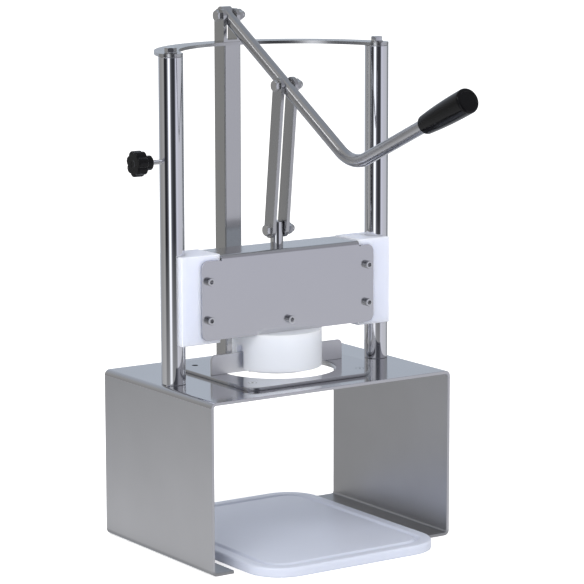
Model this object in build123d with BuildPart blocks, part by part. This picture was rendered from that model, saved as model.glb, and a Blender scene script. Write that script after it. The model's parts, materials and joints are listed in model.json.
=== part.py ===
from build123d import *

import os
from math import acos, atan2, cos, degrees, hypot, radians, sin

# Hand-lever pineapple peeler, in millimetres.
# X runs across the machine, Y runs from the operator to the back, Z is up.
# The origin is on the bench, straight below the centre of the cutting hole.

os.makedirs("parts", exist_ok=True)

# Clearances shared by the whole machine
slide_gap = 0.3
pin_gap = 0.08
bolt_gap = 0.25
thread_gap = 0.05
weld_gap = 0.02
overrun = 5.0

# Bent sheet base: a bridge with its feet turned inwards
base_width = 354.0
base_depth = 250.0
base_height = 212.0
base_sheet = 4.0
base_bend = 5.0
foot_width = 31.0
base_top = base_height
base_under = base_height - base_sheet

# Cutter plate, lying on the base
plate_thick = 4.0
plate_half_depth = 96.0
plate_left_reach = 103.0
plate_round_radius = 117.0
plate_corner = 17.0
plate_edge_break = 0.5
cut_hole_radius = 74.0
base_hole_margin = 2.0
plate_top = base_top + plate_thick

# Countersunk screws of the cutter plate, and its open locating hole
plate_screw_x = 80.0
plate_screw_y = 66.0
plate_screw_radius = 2.5
plate_screw_head = 4.8
plate_screw_sink = 2.4
plate_screw_socket = 3.0
locating_hole_radius = 4.0

# Ring knife, core knife and the blades that split the peel
knife_height = 25.0
ring_bore = 42.5
ring_wall = 1.5
knife_bevel = 6.0
knife_edge = 0.2
core_bore = 12.4
core_wall = 1.2
spoke_thick = 1.2
spoke_drop = 2.0
spoke_height = 4.2
splitter_thick = 3.0
splitter_reach = 98.0
splitter_corner = 6.0
ring_outer = ring_bore + ring_wall
core_outer = core_bore + core_wall
knife_top = plate_top + knife_height

# Guide columns
column_radius = 15.0
column_inset = 25.0
column_length = 400.0
column_chamfer = 1.0
column_spread = base_width / 2 - column_inset
column_top = base_top + column_length

# Mast: a square tube behind the cutting hole
mast_width = 25.0
mast_wall = 2.5
mast_corner = 2.0
mast_y = 111.0
mast_front = mast_y - mast_width / 2
plug_gap = 0.1
plug_length = 20.0

# Arch plate that ties the columns to the mast
arch_thick = 4.0
arch_half_width = 15.0
arch_top = column_top + arch_thick
arch_rise = mast_front + arch_half_width

# Hexagon bolts, washers and domed nuts
bolt_radius = 4.0
bolt_across = 13.0
bolt_head = 5.3
bolt_bevel = 0.8
washer_radius = 8.0
washer_thick = 1.6
nut_height = 6.5
dome_radius = 5.6
arch_bolt_length = 28.0
foot_bolt_radius = 5.0
foot_bolt_across = 17.0
foot_bolt_head = 6.4
foot_bolt_length = 30.0
foot_washer_radius = 10.0
foot_washer_thick = 2.0
tap_margin = 4.0

# Lever fork on top of the mast
ear_thick = 5.0
ear_depth = 22.0
ear_rise = 8.5
fork_floor = 3.0
pivot_rise = 33.0
fork_screw_radius = 3.0
fork_screw_head = 5.8
fork_screw_sink = 2.8
fork_screw_socket = 4.0
fork_screw_length = 22.0
pivot_y = mast_y
pivot_z = arch_top + pivot_rise

# Pressing head: bent channel, guide blocks, pusher and stud
pusher_rest_gap = 3.0
pusher_radius = 56.2
pusher_height = 47.0
pusher_edge = 1.5
pusher_groove_gap = 0.6
pusher_groove_rise = 1.5
pusher_slot_half = 8.0
pusher_slot_rise = 31.0
tenon_half_width = 40.0
tenon_height = 44.0
channel_height = 103.7
channel_depth = 57.0
channel_sheet = 3.0
channel_bend = 3.5
face_gap = 24.5
face_flare_left = 28.4
face_flare_right = 22.0
face_corner = 8.5
ear_drop = 5.7
relief_width = 2.4
relief_depth = 0.8
block_cover = 3.0
block_gap = 0.5
block_under = 4.7
block_over = 1.3
block_edge = 1.0
head_screw_radius = 3.0
head_screw_head = 5.0
head_screw_head_height = 6.0
head_screw_socket = 5.0
head_screw_length = 20.0
head_screw_inset = 10.0
head_screw_low = 25.0
head_screw_high = 73.0
centre_screw_rise = 15.0
stud_radius = 8.0
stud_pin_rise = 20.3
stud_eye = 11.0
stud_flat_drop = 15.0
stud_chamfer = 1.0
stud_neck_radius = 6.0
stud_neck_length = 82.0
stud_nut_across = 19.0
stud_nut_height = 10.0
stud_washer_radius = 12.0
stud_washer_thick = 2.5
face_half_width = column_spread - face_gap
web_left = face_flare_left - face_half_width
web_right = face_half_width - face_flare_right
block_outer = column_spread + block_cover
head_screw_x = face_half_width - head_screw_inset
pusher_bottom = plate_top + pusher_rest_gap
channel_bottom = pusher_bottom + pusher_height
web_top = channel_bottom + channel_height
web_under = web_top - channel_sheet
face_top = web_top - ear_drop
channel_inner = channel_depth / 2 - channel_sheet
foot_pin_z = web_top + stud_pin_rise

# Lever and links
rod_radius = 8.0
flat_width = 14.2
crank_radius = 153.0
lever_upper = 320.0
lever_bend = 60.0
lever_lower_rise = 23.5
lever_tail = 6.0
grip_neck_length = 154.5
grip_length = 88.5
grip_bore = 70.5
grip_radius = 15.0
grip_start_radius = 11.8
grip_flare = 78.0
grip_edge = 3.5
fork_flat_length = 22.0
link_flat_length = 19.0
link_length = 182.0
link_width = 20.0
link_thick = 5.0
link_inner = flat_width / 2 + slide_gap
link_outer = link_inner + link_thick

# Parking lock on the left column
lock_z = 486.0
lock_screw_radius = 3.0
lock_tip_back = 2.0
lock_reach = 15.0
lock_hub_length = 10.5
lock_hub_radius = 9.0
lock_head_length = 14.0
lock_head_core = 12.0
lock_lobe_radius = 6.6
lock_lobe_ring = 9.4
lock_lobes = 7
lock_lobe_turn = 10.7
lock_edge = 2.0
lock_bore = 20.0

# Catch board, lying loose on the bench between the feet
board_left_gap = 13.6
board_right_gap = 15.2
board_front = 180.6
board_length = 328.0
board_thick = 12.0
board_corner = 47.0
board_edge = 3.0
groove_inset = 14.0
groove_width = 9.0
groove_depth = 3.0

# Lever geometry at rest: the link pin lies where the crank circle round the
# lever pivot meets the link circle round the foot pin, on the operator's side.
pivot_drop = pivot_z - foot_pin_z
pivot_to_foot = hypot(pivot_y, pivot_drop)
crank_share = (crank_radius**2 + pivot_to_foot**2 - link_length**2) / (2 * crank_radius * pivot_to_foot)
lever_tilt = atan2(pivot_drop, pivot_y) - acos(crank_share)
upper_run = Vector(0, -cos(lever_tilt), -sin(lever_tilt))
lower_run = Vector(0, -cos(radians(lever_lower_rise)), sin(radians(lever_lower_rise)))
pivot_point = Vector(0, pivot_y, pivot_z)
tail_point = pivot_point - upper_run * lever_tail
link_point = pivot_point + upper_run * crank_radius
foot_point = Vector(0, 0, foot_pin_z)
bend_point = pivot_point + upper_run * lever_upper
grip_point = bend_point + lower_run * grip_neck_length
rod_end = grip_point + lower_run * grip_bore


def plane_facing(point, normal):
    """Working plane at a point, looking along the normal: its second axis points up on an upright face."""
    upright = abs(normal[2]) == 0
    level = Vector(0, 0, 1).cross(Vector(*normal)) if upright else Vector(1, 0, 0)
    return Plane(origin=point, x_dir=level, z_dir=normal)


def round_bar(plane, radius, length, mode=Mode.ADD):
    """Round bar, or round hole, from a plane along its normal."""
    with BuildSketch(plane) as circle:
        Circle(radius)
    extrude(circle.sketch, amount=length, mode=mode)


def hexagon_bar(plane, across, length, mode=Mode.ADD):
    """Hexagonal bar, or socket, from a plane along its normal."""
    with BuildSketch(plane) as hexagon:
        RegularPolygon(radius=across / 2, side_count=6, major_radius=False)
    extrude(hexagon.sketch, amount=length, mode=mode)


def hexagon_head(plane, across, height, bevel):
    """Bolt head standing on a plane, with its far rim bevelled."""
    hexagon_bar(plane, across, height - bevel)
    with BuildSketch(plane.offset(height - bevel)) as rim:
        RegularPolygon(radius=across / 2, side_count=6, major_radius=False)
    extrude(rim.sketch, amount=bevel, taper=45)


def hexagon_bolt(plane, radius, across, head, length):
    """Bolt whose head stands on the plane and whose shank runs the other way."""
    hexagon_head(plane, across, head, bolt_bevel)
    round_bar(plane, radius, -length)


def cap_screw(plane, radius, head_radius, head_height, socket, length):
    """Socket cap screw whose head stands on the plane."""
    round_bar(plane, head_radius, head_height)
    round_bar(plane, radius, -length)
    hexagon_bar(plane.offset(head_height), socket, -head_height / 2, mode=Mode.SUBTRACT)


def countersunk_screw(plane, radius, head_radius, sink, socket, length):
    """Countersunk socket screw whose head is flush with the plane."""
    with Locations(plane):
        Cone(head_radius - sink, head_radius, sink, align=(Align.CENTER, Align.CENTER, Align.MAX))
    round_bar(plane, radius, -length)
    hexagon_bar(plane, socket, -sink, mode=Mode.SUBTRACT)


def flat_washer(plane, radius, bore, thick):
    """Washer lying on a plane."""
    with BuildSketch(plane) as ring:
        Circle(radius)
        Circle(bore, mode=Mode.SUBTRACT)
    extrude(ring.sketch, amount=thick)


def domed_nut(plane, bore_length):
    """Domed nut standing on a plane, open towards the plane."""
    hexagon_bar(plane, bolt_across, nut_height)
    with Locations(plane.offset(nut_height)):
        Sphere(dome_radius)
    round_bar(plane, bolt_radius + thread_gap, bore_length, mode=Mode.SUBTRACT)


def finish(builder, name):
    """Name a finished piece and write it out."""
    builder.part.label = name
    export_step(builder.part, "parts/" + name + ".step")


# Base

side_mid = base_width / 2 - base_sheet / 2
top_mid = base_height - base_sheet / 2
foot_mid = base_sheet / 2
foot_inner = base_width / 2 - foot_width
column_spots = [(-column_spread, 0), (column_spread, 0)]
screw_corners = [
    (-plate_screw_x, -plate_screw_y),
    (plate_screw_x, -plate_screw_y),
    (plate_screw_x, plate_screw_y),
]
locating_corner = (-plate_screw_x, plate_screw_y)

with BuildPart() as base_frame:
    with BuildSketch(Plane.XZ.offset(-base_depth / 2)):
        with BuildLine():
            FilletPolyline(
                (-foot_inner, foot_mid),
                (-side_mid, foot_mid),
                (-side_mid, top_mid),
                (side_mid, top_mid),
                (side_mid, foot_mid),
                (foot_inner, foot_mid),
                radius=base_bend,
            )
        trace(line_width=base_sheet)
    extrude(amount=base_depth)
    with BuildSketch(Plane.XY.offset(base_under)):
        Circle(cut_hole_radius + base_hole_margin)
        with Locations(*column_spots):
            Circle(foot_bolt_radius + bolt_gap)
        with Locations((0, mast_y)):
            Circle(bolt_radius + bolt_gap)
        with Locations(*screw_corners):
            Circle(plate_screw_radius + thread_gap)
    extrude(amount=base_sheet, mode=Mode.SUBTRACT)
finish(base_frame, "base_frame")

# Cutter plate: straight on the left, round on the right

with BuildPart() as cutter_plate:
    with BuildSketch(Plane.XY.offset(base_top)):
        Circle(plate_round_radius)
        with Locations((-plate_left_reach / 2, 0)):
            Rectangle(plate_left_reach, 2 * plate_half_depth)
        with Locations(((plate_round_radius - plate_left_reach) / 2, 0)):
            Rectangle(plate_round_radius + plate_left_reach, 2 * plate_half_depth, mode=Mode.INTERSECT)
        fillet(vertices().sort_by(Axis.X)[:2], radius=plate_corner)
        Circle(cut_hole_radius, mode=Mode.SUBTRACT)
    extrude(amount=plate_thick)
    chamfer(faces().sort_by(Axis.Z)[-1].outer_wire().edges(), length=plate_edge_break)
    with Locations(Plane.XY.offset(plate_top)):
        with Locations(*screw_corners):
            CounterSinkHole(
                plate_screw_radius + bolt_gap,
                counter_sink_radius=plate_screw_head + thread_gap,
                depth=plate_thick,
                counter_sink_angle=90,
            )
        with Locations(locating_corner):
            Hole(locating_hole_radius, depth=plate_thick)
finish(cutter_plate, "cutter_plate")

with BuildPart() as cutter_plate_screws:
    for x, y in screw_corners:
        countersunk_screw(
            plane_facing((x, y, plate_top), (0, 0, 1)),
            plate_screw_radius,
            plate_screw_head,
            plate_screw_sink,
            plate_screw_socket,
            plate_thick + base_sheet,
        )
finish(cutter_plate_screws, "cutter_plate_screws")

# Knives

with BuildPart() as ring_knife:
    with BuildSketch(Plane.XZ):
        with BuildLine():
            Polyline(
                (ring_bore, plate_top),
                (ring_outer, plate_top),
                (ring_outer, knife_top - knife_bevel),
                (ring_bore + knife_edge, knife_top),
                (ring_bore, knife_top),
                close=True,
            )
        make_face()
    revolve(axis=Axis.Z)
finish(ring_knife, "ring_knife")

with BuildPart() as core_knife:
    spoke_bottom = plate_top - spoke_drop
    with BuildSketch(Plane.XY.offset(spoke_bottom)):
        Rectangle(2 * (ring_bore - weld_gap), spoke_thick)
    extrude(amount=spoke_height)
    with BuildSketch(Plane.XZ):
        with BuildLine():
            Polyline(
                (0, spoke_bottom),
                (core_outer, spoke_bottom),
                (core_outer, knife_top - knife_bevel),
                (core_bore + knife_edge, knife_top),
                (0, knife_top),
                close=True,
            )
        make_face()
    revolve(axis=Axis.Z)
    round_bar(Plane.XY.offset(spoke_bottom - overrun), core_bore, knife_height + 3 * overrun, mode=Mode.SUBTRACT)
finish(core_knife, "core_knife")

for side, name in ((-1, "splitter_blade_left"), (1, "splitter_blade_right")):
    with BuildPart() as splitter_blade:
        with BuildSketch(Plane.XZ):
            with Locations((side * splitter_reach / 2, plate_top + knife_height / 2)):
                Rectangle(splitter_reach, knife_height)
            outer_top = vertices().group_by(Axis.Y)[-1].sort_by(Axis.X)[0 if side < 0 else -1]
            fillet(outer_top, radius=splitter_corner)
        extrude(amount=splitter_thick / 2, both=True)
        round_bar(
            Plane.XY.offset(plate_top - overrun),
            ring_outer + weld_gap,
            knife_height + 2 * overrun,
            mode=Mode.SUBTRACT,
        )
    finish(splitter_blade, name)

# Columns

for side, name in ((-1, "left_column"), (1, "right_column")):
    with BuildPart() as column:
        column_foot = Plane.XY.offset(base_top).move(Location((side * column_spread, 0, 0)))
        round_bar(column_foot, column_radius, column_length)
        chamfer(edges().filter_by(GeomType.CIRCLE), length=column_chamfer)
        round_bar(
            column_foot,
            foot_bolt_radius + thread_gap,
            foot_bolt_length + tap_margin,
            mode=Mode.SUBTRACT,
        )
        round_bar(
            column_foot.offset(column_length),
            bolt_radius + thread_gap,
            -(arch_bolt_length + tap_margin),
            mode=Mode.SUBTRACT,
        )
        if side < 0:
            lock_axis = plane_facing((-column_spread - column_radius - overrun, 0, lock_z), (1, 0, 0))
            round_bar(lock_axis, lock_screw_radius + pin_gap, 2 * (column_radius + overrun), mode=Mode.SUBTRACT)
    finish(column, name)

with BuildPart() as column_foot_washers:
    for x, y in column_spots:
        under_plate = plane_facing((x, y, base_under), (0, 0, -1))
        flat_washer(under_plate, foot_washer_radius, foot_bolt_radius + bolt_gap, foot_washer_thick)
finish(column_foot_washers, "column_foot_washers")

with BuildPart() as column_foot_bolts:
    for x, y in column_spots:
        under_washer = plane_facing((x, y, base_under - foot_washer_thick), (0, 0, -1))
        hexagon_bolt(under_washer, foot_bolt_radius, foot_bolt_across, foot_bolt_head, foot_bolt_length)
finish(column_foot_bolts, "column_foot_bolts")

# Arch plate

with BuildPart() as arch_plate:
    with BuildSketch(Plane.XY.offset(column_top)):
        with BuildLine():
            ThreePointArc((-column_spread, 0), (0, arch_rise), (column_spread, 0))
        trace(line_width=2 * arch_half_width)
        with Locations(*column_spots):
            Circle(arch_half_width)
        with Locations(*column_spots):
            Circle(bolt_radius + bolt_gap, mode=Mode.SUBTRACT)
        with Locations((0, mast_y)):
            Circle(fork_screw_radius + bolt_gap, mode=Mode.SUBTRACT)
    extrude(amount=arch_thick)
finish(arch_plate, "arch_plate")

with BuildPart() as arch_washers:
    for x, y in column_spots:
        on_arch = plane_facing((x, y, arch_top), (0, 0, 1))
        flat_washer(on_arch, washer_radius, bolt_radius + bolt_gap, washer_thick)
finish(arch_washers, "arch_washers")

with BuildPart() as arch_bolts:
    for x, y in column_spots:
        on_washer = plane_facing((x, y, arch_top + washer_thick), (0, 0, 1))
        hexagon_bolt(on_washer, bolt_radius, bolt_across, bolt_head, arch_bolt_length)
finish(arch_bolts, "arch_bolts")

# Mast, with a tapped plug welded into each end

mast_inner = mast_width - 2 * mast_wall

with BuildPart() as mast:
    with BuildSketch(Plane.XY.offset(base_top)):
        with Locations((0, mast_y)):
            RectangleRounded(mast_width, mast_width, mast_corner)
            Rectangle(mast_inner, mast_inner, mode=Mode.SUBTRACT)
    extrude(amount=column_length)
finish(mast, "mast")

for bottom, tap_radius, name in (
    (base_top, bolt_radius, "mast_foot_plug"),
    (column_top - plug_length, fork_screw_radius, "mast_top_plug"),
):
    with BuildPart() as plug:
        with BuildSketch(Plane.XY.offset(bottom)):
            with Locations((0, mast_y)):
                Rectangle(mast_inner - 2 * plug_gap, mast_inner - 2 * plug_gap)
                Circle(tap_radius + thread_gap, mode=Mode.SUBTRACT)
        extrude(amount=plug_length)
    finish(plug, name)

under_mast = plane_facing((0, mast_y, base_under), (0, 0, -1))

with BuildPart() as mast_foot_washer:
    flat_washer(under_mast, washer_radius, bolt_radius + bolt_gap, washer_thick)
finish(mast_foot_washer, "mast_foot_washer")

with BuildPart() as mast_foot_bolt:
    hexagon_bolt(
        under_mast.offset(washer_thick),
        bolt_radius,
        bolt_across,
        bolt_head,
        washer_thick + base_sheet + plug_length - tap_margin,
    )
finish(mast_foot_bolt, "mast_foot_bolt")

# Lever fork and its pivot

with BuildPart() as lever_fork:
    with BuildSketch(Plane.XY.offset(arch_top)):
        with Locations((0, mast_y)):
            Rectangle(mast_width, ear_depth)
    extrude(amount=fork_floor)
    for side in (-1, 1):
        with BuildSketch(Plane.YZ.offset(side * (mast_width - ear_thick) / 2)):
            with Locations((pivot_y, (arch_top + pivot_z + ear_rise) / 2)):
                Rectangle(ear_depth, pivot_rise + ear_rise)
            fillet(vertices().group_by(Axis.Y)[-1], radius=ear_rise)
            with Locations((pivot_y, pivot_z)):
                Circle(bolt_radius + pin_gap, mode=Mode.SUBTRACT)
        extrude(amount=ear_thick / 2, both=True)
    with Locations((0, mast_y, arch_top + fork_floor)):
        CounterSinkHole(
            fork_screw_radius + bolt_gap,
            counter_sink_radius=fork_screw_head + thread_gap,
            depth=fork_floor,
            counter_sink_angle=90,
        )
finish(lever_fork, "lever_fork")

with BuildPart() as fork_screw:
    countersunk_screw(
        plane_facing((0, mast_y, arch_top + fork_floor), (0, 0, 1)),
        fork_screw_radius,
        fork_screw_head,
        fork_screw_sink,
        fork_screw_socket,
        fork_screw_length,
    )
finish(fork_screw, "fork_screw")

ear_outer = mast_width / 2
fork_left = plane_facing((-ear_outer, pivot_y, pivot_z), (-1, 0, 0))
fork_right = plane_facing((ear_outer, pivot_y, pivot_z), (1, 0, 0))

with BuildPart() as lever_pivot_washer:
    flat_washer(fork_right, washer_radius, bolt_radius + bolt_gap, washer_thick)
finish(lever_pivot_washer, "lever_pivot_washer")

with BuildPart() as lever_pivot_bolt:
    pivot_shank = 2 * ear_outer + washer_thick + nut_height
    hexagon_bolt(fork_left, bolt_radius, bolt_across, bolt_head, pivot_shank)
finish(lever_pivot_bolt, "lever_pivot_bolt")

with BuildPart() as lever_pivot_nut:
    domed_nut(fork_right.offset(washer_thick), nut_height + slide_gap)
finish(lever_pivot_nut, "lever_pivot_nut")

# Lever: a bent round bar with flats milled at its two pins

with BuildPart() as lever_rod:
    with BuildLine() as rod_line:
        FilletPolyline(tail_point, bend_point, rod_end, radius=lever_bend)
    with BuildSketch(Plane(origin=tail_point, x_dir=(1, 0, 0), z_dir=upper_run)) as rod_section:
        Circle(rod_radius)
    sweep(rod_section.sketch, path=rod_line.wire())
    with BuildSketch(Plane(origin=tail_point, x_dir=upper_run, z_dir=(1, 0, 0))) as rod_eye:
        Circle(rod_radius)
    extrude(rod_eye.sketch, amount=flat_width / 2, both=True)
    for spot, length in ((pivot_point, fork_flat_length), (link_point, link_flat_length)):
        for side in (-1, 1):
            flat_face = Plane(origin=spot, x_dir=upper_run, z_dir=(side, 0, 0)).offset(flat_width / 2)
            with BuildSketch(flat_face) as flat_area:
                Rectangle(2 * length, 2 * rod_radius + overrun)
            extrude(flat_area.sketch, amount=rod_radius, mode=Mode.SUBTRACT)
    for spot, gap in ((pivot_point, pin_gap), (link_point, thread_gap)):
        pin_start = plane_facing(spot - Vector(rod_radius, 0, 0), (1, 0, 0))
        round_bar(pin_start, bolt_radius + gap, 2 * rod_radius, mode=Mode.SUBTRACT)
finish(lever_rod, "lever_rod")

with BuildPart() as lever_grip:
    with BuildSketch(Plane(origin=grip_point, x_dir=lower_run, z_dir=(1, 0, 0))) as grip_half:
        with BuildLine():
            neck_in = Line((0, 0), (0, grip_start_radius - grip_edge))
            lip = RadiusArc(neck_in @ 1, (grip_edge, grip_start_radius), grip_edge)
            flare = Bezier(lip @ 1, ((grip_edge + grip_flare) / 2, grip_radius), (grip_flare, grip_radius))
            barrel = Line(flare @ 1, (grip_length - grip_edge, grip_radius))
            rim = RadiusArc(barrel @ 1, (grip_length, grip_radius - grip_edge), grip_edge)
            Line(rim @ 1, (grip_length, 0))
            Line((grip_length, 0), (0, 0))
        make_face()
    revolve(grip_half.sketch, axis=Axis(grip_point, lower_run))
    grip_mouth = Plane(origin=grip_point, x_dir=(1, 0, 0), z_dir=lower_run)
    round_bar(grip_mouth, rod_radius + thread_gap, grip_bore + slide_gap, mode=Mode.SUBTRACT)
finish(lever_grip, "lever_grip")

beside_left_link = plane_facing(link_point - Vector(link_outer + slide_gap, 0, 0), (-1, 0, 0))
beside_right_link = plane_facing(link_point + Vector(link_outer + slide_gap, 0, 0), (1, 0, 0))

with BuildPart() as link_pin_bolt:
    pin_shank = 2 * (link_outer + slide_gap) + nut_height
    hexagon_bolt(beside_left_link, bolt_radius, bolt_across, bolt_head, pin_shank)
finish(link_pin_bolt, "link_pin_bolt")

with BuildPart() as link_pin_nut:
    domed_nut(beside_right_link, nut_height + slide_gap)
finish(link_pin_nut, "link_pin_nut")

# Links: two flat bars, one each side of the lever and the stud

link_run = (foot_point - link_point).normalized()

for side, name in ((-1, "link_left"), (1, "link_right")):
    with BuildPart() as link:
        link_face = Plane(origin=link_point + Vector(side * link_inner, 0, 0), x_dir=link_run, z_dir=(side, 0, 0))
        with BuildSketch(link_face) as bar:
            with Locations((link_length / 2, 0)):
                SlotCenterToCenter(link_length, link_width)
            Circle(bolt_radius + pin_gap, mode=Mode.SUBTRACT)
            with Locations((link_length, 0)):
                Circle(bolt_radius + thread_gap, mode=Mode.SUBTRACT)
        extrude(bar.sketch, amount=link_thick)
    finish(link, name)

# The foot pin is the pivot where the linkage is opened, so it is two stubs.

foot_left = plane_facing(foot_point - Vector(link_outer, 0, 0), (-1, 0, 0))
foot_right = plane_facing(foot_point + Vector(link_outer, 0, 0), (1, 0, 0))

with BuildPart() as link_foot_washer:
    flat_washer(foot_right, washer_radius, bolt_radius + bolt_gap, washer_thick)
finish(link_foot_washer, "link_foot_washer")

with BuildPart() as link_foot_bolt:
    hexagon_bolt(foot_left, bolt_radius, bolt_across, bolt_head, link_thick)
finish(link_foot_bolt, "link_foot_bolt")

with BuildPart() as link_foot_nut:
    hexagon_bar(foot_right.offset(washer_thick), bolt_across, nut_height)
    with Locations(foot_right.offset(washer_thick + nut_height)):
        Sphere(dome_radius)
    round_bar(foot_right.offset(washer_thick), bolt_radius, -(washer_thick + link_thick))
finish(link_foot_nut, "link_foot_nut")

# Pressing head

face_height = face_top - channel_bottom
low_screws_z = channel_bottom + head_screw_low
high_screws_z = channel_bottom + head_screw_high
centre_screw_z = channel_bottom + centre_screw_rise
face_screws = [
    (-head_screw_x, low_screws_z),
    (head_screw_x, low_screws_z),
    (-head_screw_x, high_screws_z),
    (head_screw_x, high_screws_z),
    (0, centre_screw_z),
]

with BuildPart() as head_channel:
    channel_mid = (channel_depth - channel_sheet) / 2
    web_mid = web_top - channel_sheet / 2
    with BuildSketch(Plane.YZ.offset(web_left)):
        with BuildLine():
            FilletPolyline(
                (-channel_mid, channel_bottom),
                (-channel_mid, web_mid),
                (channel_mid, web_mid),
                (channel_mid, channel_bottom),
                radius=channel_bend,
            )
        trace(line_width=channel_sheet)
    extrude(amount=web_right - web_left)
    for side in (-1, 1):
        face_plane = plane_facing((0, side * channel_inner, channel_bottom + face_height / 2), (0, side, 0))
        with BuildSketch(face_plane) as face_sheet:
            RectangleRounded(2 * face_half_width, face_height, face_corner)
            with Locations(
                (-side * (web_left - relief_width / 2), face_height / 2),
                (-side * (web_right + relief_width / 2), face_height / 2),
            ):
                Rectangle(relief_width, 2 * relief_depth, mode=Mode.SUBTRACT)
        extrude(face_sheet.sketch, amount=channel_sheet)
    with BuildSketch(Plane.XZ.offset(-channel_depth)) as screw_holes:
        with Locations(*face_screws):
            Circle(head_screw_radius + bolt_gap)
    extrude(screw_holes.sketch, amount=2 * channel_depth, mode=Mode.SUBTRACT)
    round_bar(Plane.XY.offset(web_under), stud_neck_radius + bolt_gap, channel_sheet, mode=Mode.SUBTRACT)
finish(head_channel, "head_channel")

block_bottom = channel_bottom - block_under
block_top = web_top + block_over

for side, web_end, name in ((-1, web_left, "guide_block_left"), (1, web_right, "guide_block_right")):
    with BuildPart() as guide_block:
        block_inner = side * web_end + block_gap
        with BuildSketch(Plane.XY.offset(block_bottom)):
            with Locations((side * (block_inner + block_outer) / 2, 0)):
                Rectangle(block_outer - block_inner, 2 * channel_inner)
            with Locations((side * column_spread, 0)):
                Circle(column_radius + slide_gap, mode=Mode.SUBTRACT)
        extrude(amount=block_top - block_bottom)
        chamfer(edges().filter_by(Axis.Y), length=block_edge)
        for front in (-1, 1):
            for x, z in face_screws:
                if x * side > 0:
                    tap_start = plane_facing((x, front * channel_inner, z), (0, -front, 0))
                    round_bar(
                        tap_start,
                        head_screw_radius + thread_gap,
                        head_screw_length - channel_sheet + slide_gap,
                        mode=Mode.SUBTRACT,
                    )
    finish(guide_block, name)

with BuildPart() as pusher:
    round_bar(Plane.XY.offset(pusher_bottom), pusher_radius, pusher_height)
    fillet(edges().filter_by(GeomType.CIRCLE), radius=pusher_edge)
    with BuildSketch(Plane.XY.offset(channel_bottom)) as tenon:
        Rectangle(2 * tenon_half_width, 2 * channel_inner)
    extrude(tenon.sketch, amount=tenon_height)
    groove_top = knife_top + pusher_groove_rise
    for inner, outer in ((ring_bore, ring_outer), (core_bore, core_outer)):
        with BuildSketch(Plane.XY.offset(groove_top)) as groove:
            Circle(outer + pusher_groove_gap)
            Circle(inner - pusher_groove_gap, mode=Mode.SUBTRACT)
        extrude(groove.sketch, amount=pusher_bottom - groove_top - overrun, mode=Mode.SUBTRACT)
    with BuildSketch(Plane.XY.offset(pusher_bottom + pusher_slot_rise)) as slots:
        Rectangle(2 * pusher_radius + overrun, 2 * pusher_slot_half)
        Circle(ring_outer, mode=Mode.SUBTRACT)
    extrude(slots.sketch, amount=-(pusher_slot_rise + overrun), mode=Mode.SUBTRACT)
    stud_hole_bottom = web_top - stud_neck_length - slide_gap
    round_bar(
        Plane.XY.offset(stud_hole_bottom),
        stud_neck_radius + thread_gap,
        tenon_height + channel_bottom - stud_hole_bottom,
        mode=Mode.SUBTRACT,
    )
    for front in (-1, 1):
        tap_start = plane_facing((0, front * channel_inner, centre_screw_z), (0, -front, 0))
        round_bar(
            tap_start,
            head_screw_radius + thread_gap,
            head_screw_length - channel_sheet + slide_gap,
            mode=Mode.SUBTRACT,
        )
finish(pusher, "pusher")

with BuildPart() as head_stud:
    stud_top = foot_pin_z + stud_eye
    stud_flat_height = stud_eye + stud_flat_drop
    round_bar(Plane.XY.offset(web_top), stud_radius, stud_top - web_top)
    chamfer(edges().filter_by(GeomType.CIRCLE).sort_by(Axis.Z)[-1], length=stud_chamfer)
    round_bar(Plane.XY.offset(web_top), stud_neck_radius, -stud_neck_length)
    for side in (-1, 1):
        with BuildSketch(Plane.YZ.offset(side * flat_width / 2)) as stud_flat:
            with Locations((0, stud_top - stud_flat_height / 2)):
                Rectangle(2 * stud_radius, stud_flat_height)
        extrude(stud_flat.sketch, amount=side * stud_radius, mode=Mode.SUBTRACT)
    stud_eye_start = plane_facing(foot_point - Vector(stud_radius, 0, 0), (1, 0, 0))
    round_bar(stud_eye_start, bolt_radius + bolt_gap, 2 * stud_radius, mode=Mode.SUBTRACT)
finish(head_stud, "head_stud")

under_web = plane_facing((0, 0, web_under), (0, 0, -1))

with BuildPart() as stud_washer:
    flat_washer(under_web, stud_washer_radius, stud_neck_radius + bolt_gap, stud_washer_thick)
finish(stud_washer, "stud_washer")

with BuildPart() as stud_nut:
    hexagon_bar(under_web.offset(stud_washer_thick), stud_nut_across, stud_nut_height)
    round_bar(
        under_web.offset(stud_washer_thick),
        stud_neck_radius + thread_gap,
        stud_nut_height,
        mode=Mode.SUBTRACT,
    )
finish(stud_nut, "stud_nut")

for front, name in ((-1, "head_screws_front"), (1, "head_screws_rear")):
    with BuildPart() as head_screws:
        for x, z in face_screws:
            cap_screw(
                plane_facing((x, front * channel_depth / 2, z), (0, front, 0)),
                head_screw_radius,
                head_screw_head,
                head_screw_head_height,
                head_screw_socket,
                head_screw_length,
            )
    finish(head_screws, name)

# Parking lock

column_face = column_spread + column_radius
lock_hub_face = column_face + lock_reach
lock_head_face = lock_hub_face + lock_hub_length

with BuildPart() as lock_screw:
    lock_tip = plane_facing((-column_spread + column_radius - lock_tip_back, 0, lock_z), (-1, 0, 0))
    round_bar(lock_tip, lock_screw_radius, 2 * column_radius - lock_tip_back + lock_reach + lock_bore)
finish(lock_screw, "lock_screw")

with BuildPart() as lock_knob:
    hub_plane = plane_facing((-lock_hub_face, 0, lock_z), (-1, 0, 0))
    round_bar(hub_plane, lock_hub_radius, lock_hub_length + lock_head_length / 2)
    with BuildSketch(hub_plane.offset(lock_hub_length)) as lobes:
        Circle(lock_head_core)
        with PolarLocations(lock_lobe_ring, lock_lobes, start_angle=lock_lobe_turn):
            Circle(lock_lobe_radius)
    extrude(lobes.sketch, amount=lock_head_length)
    rims = faces().filter_by(Plane.YZ).sort_by(Axis.X)
    fillet(rims[0].edges(), radius=lock_edge)
    round_bar(hub_plane, lock_screw_radius + thread_gap, lock_bore, mode=Mode.SUBTRACT)
finish(lock_knob, "lock_knob")

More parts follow.
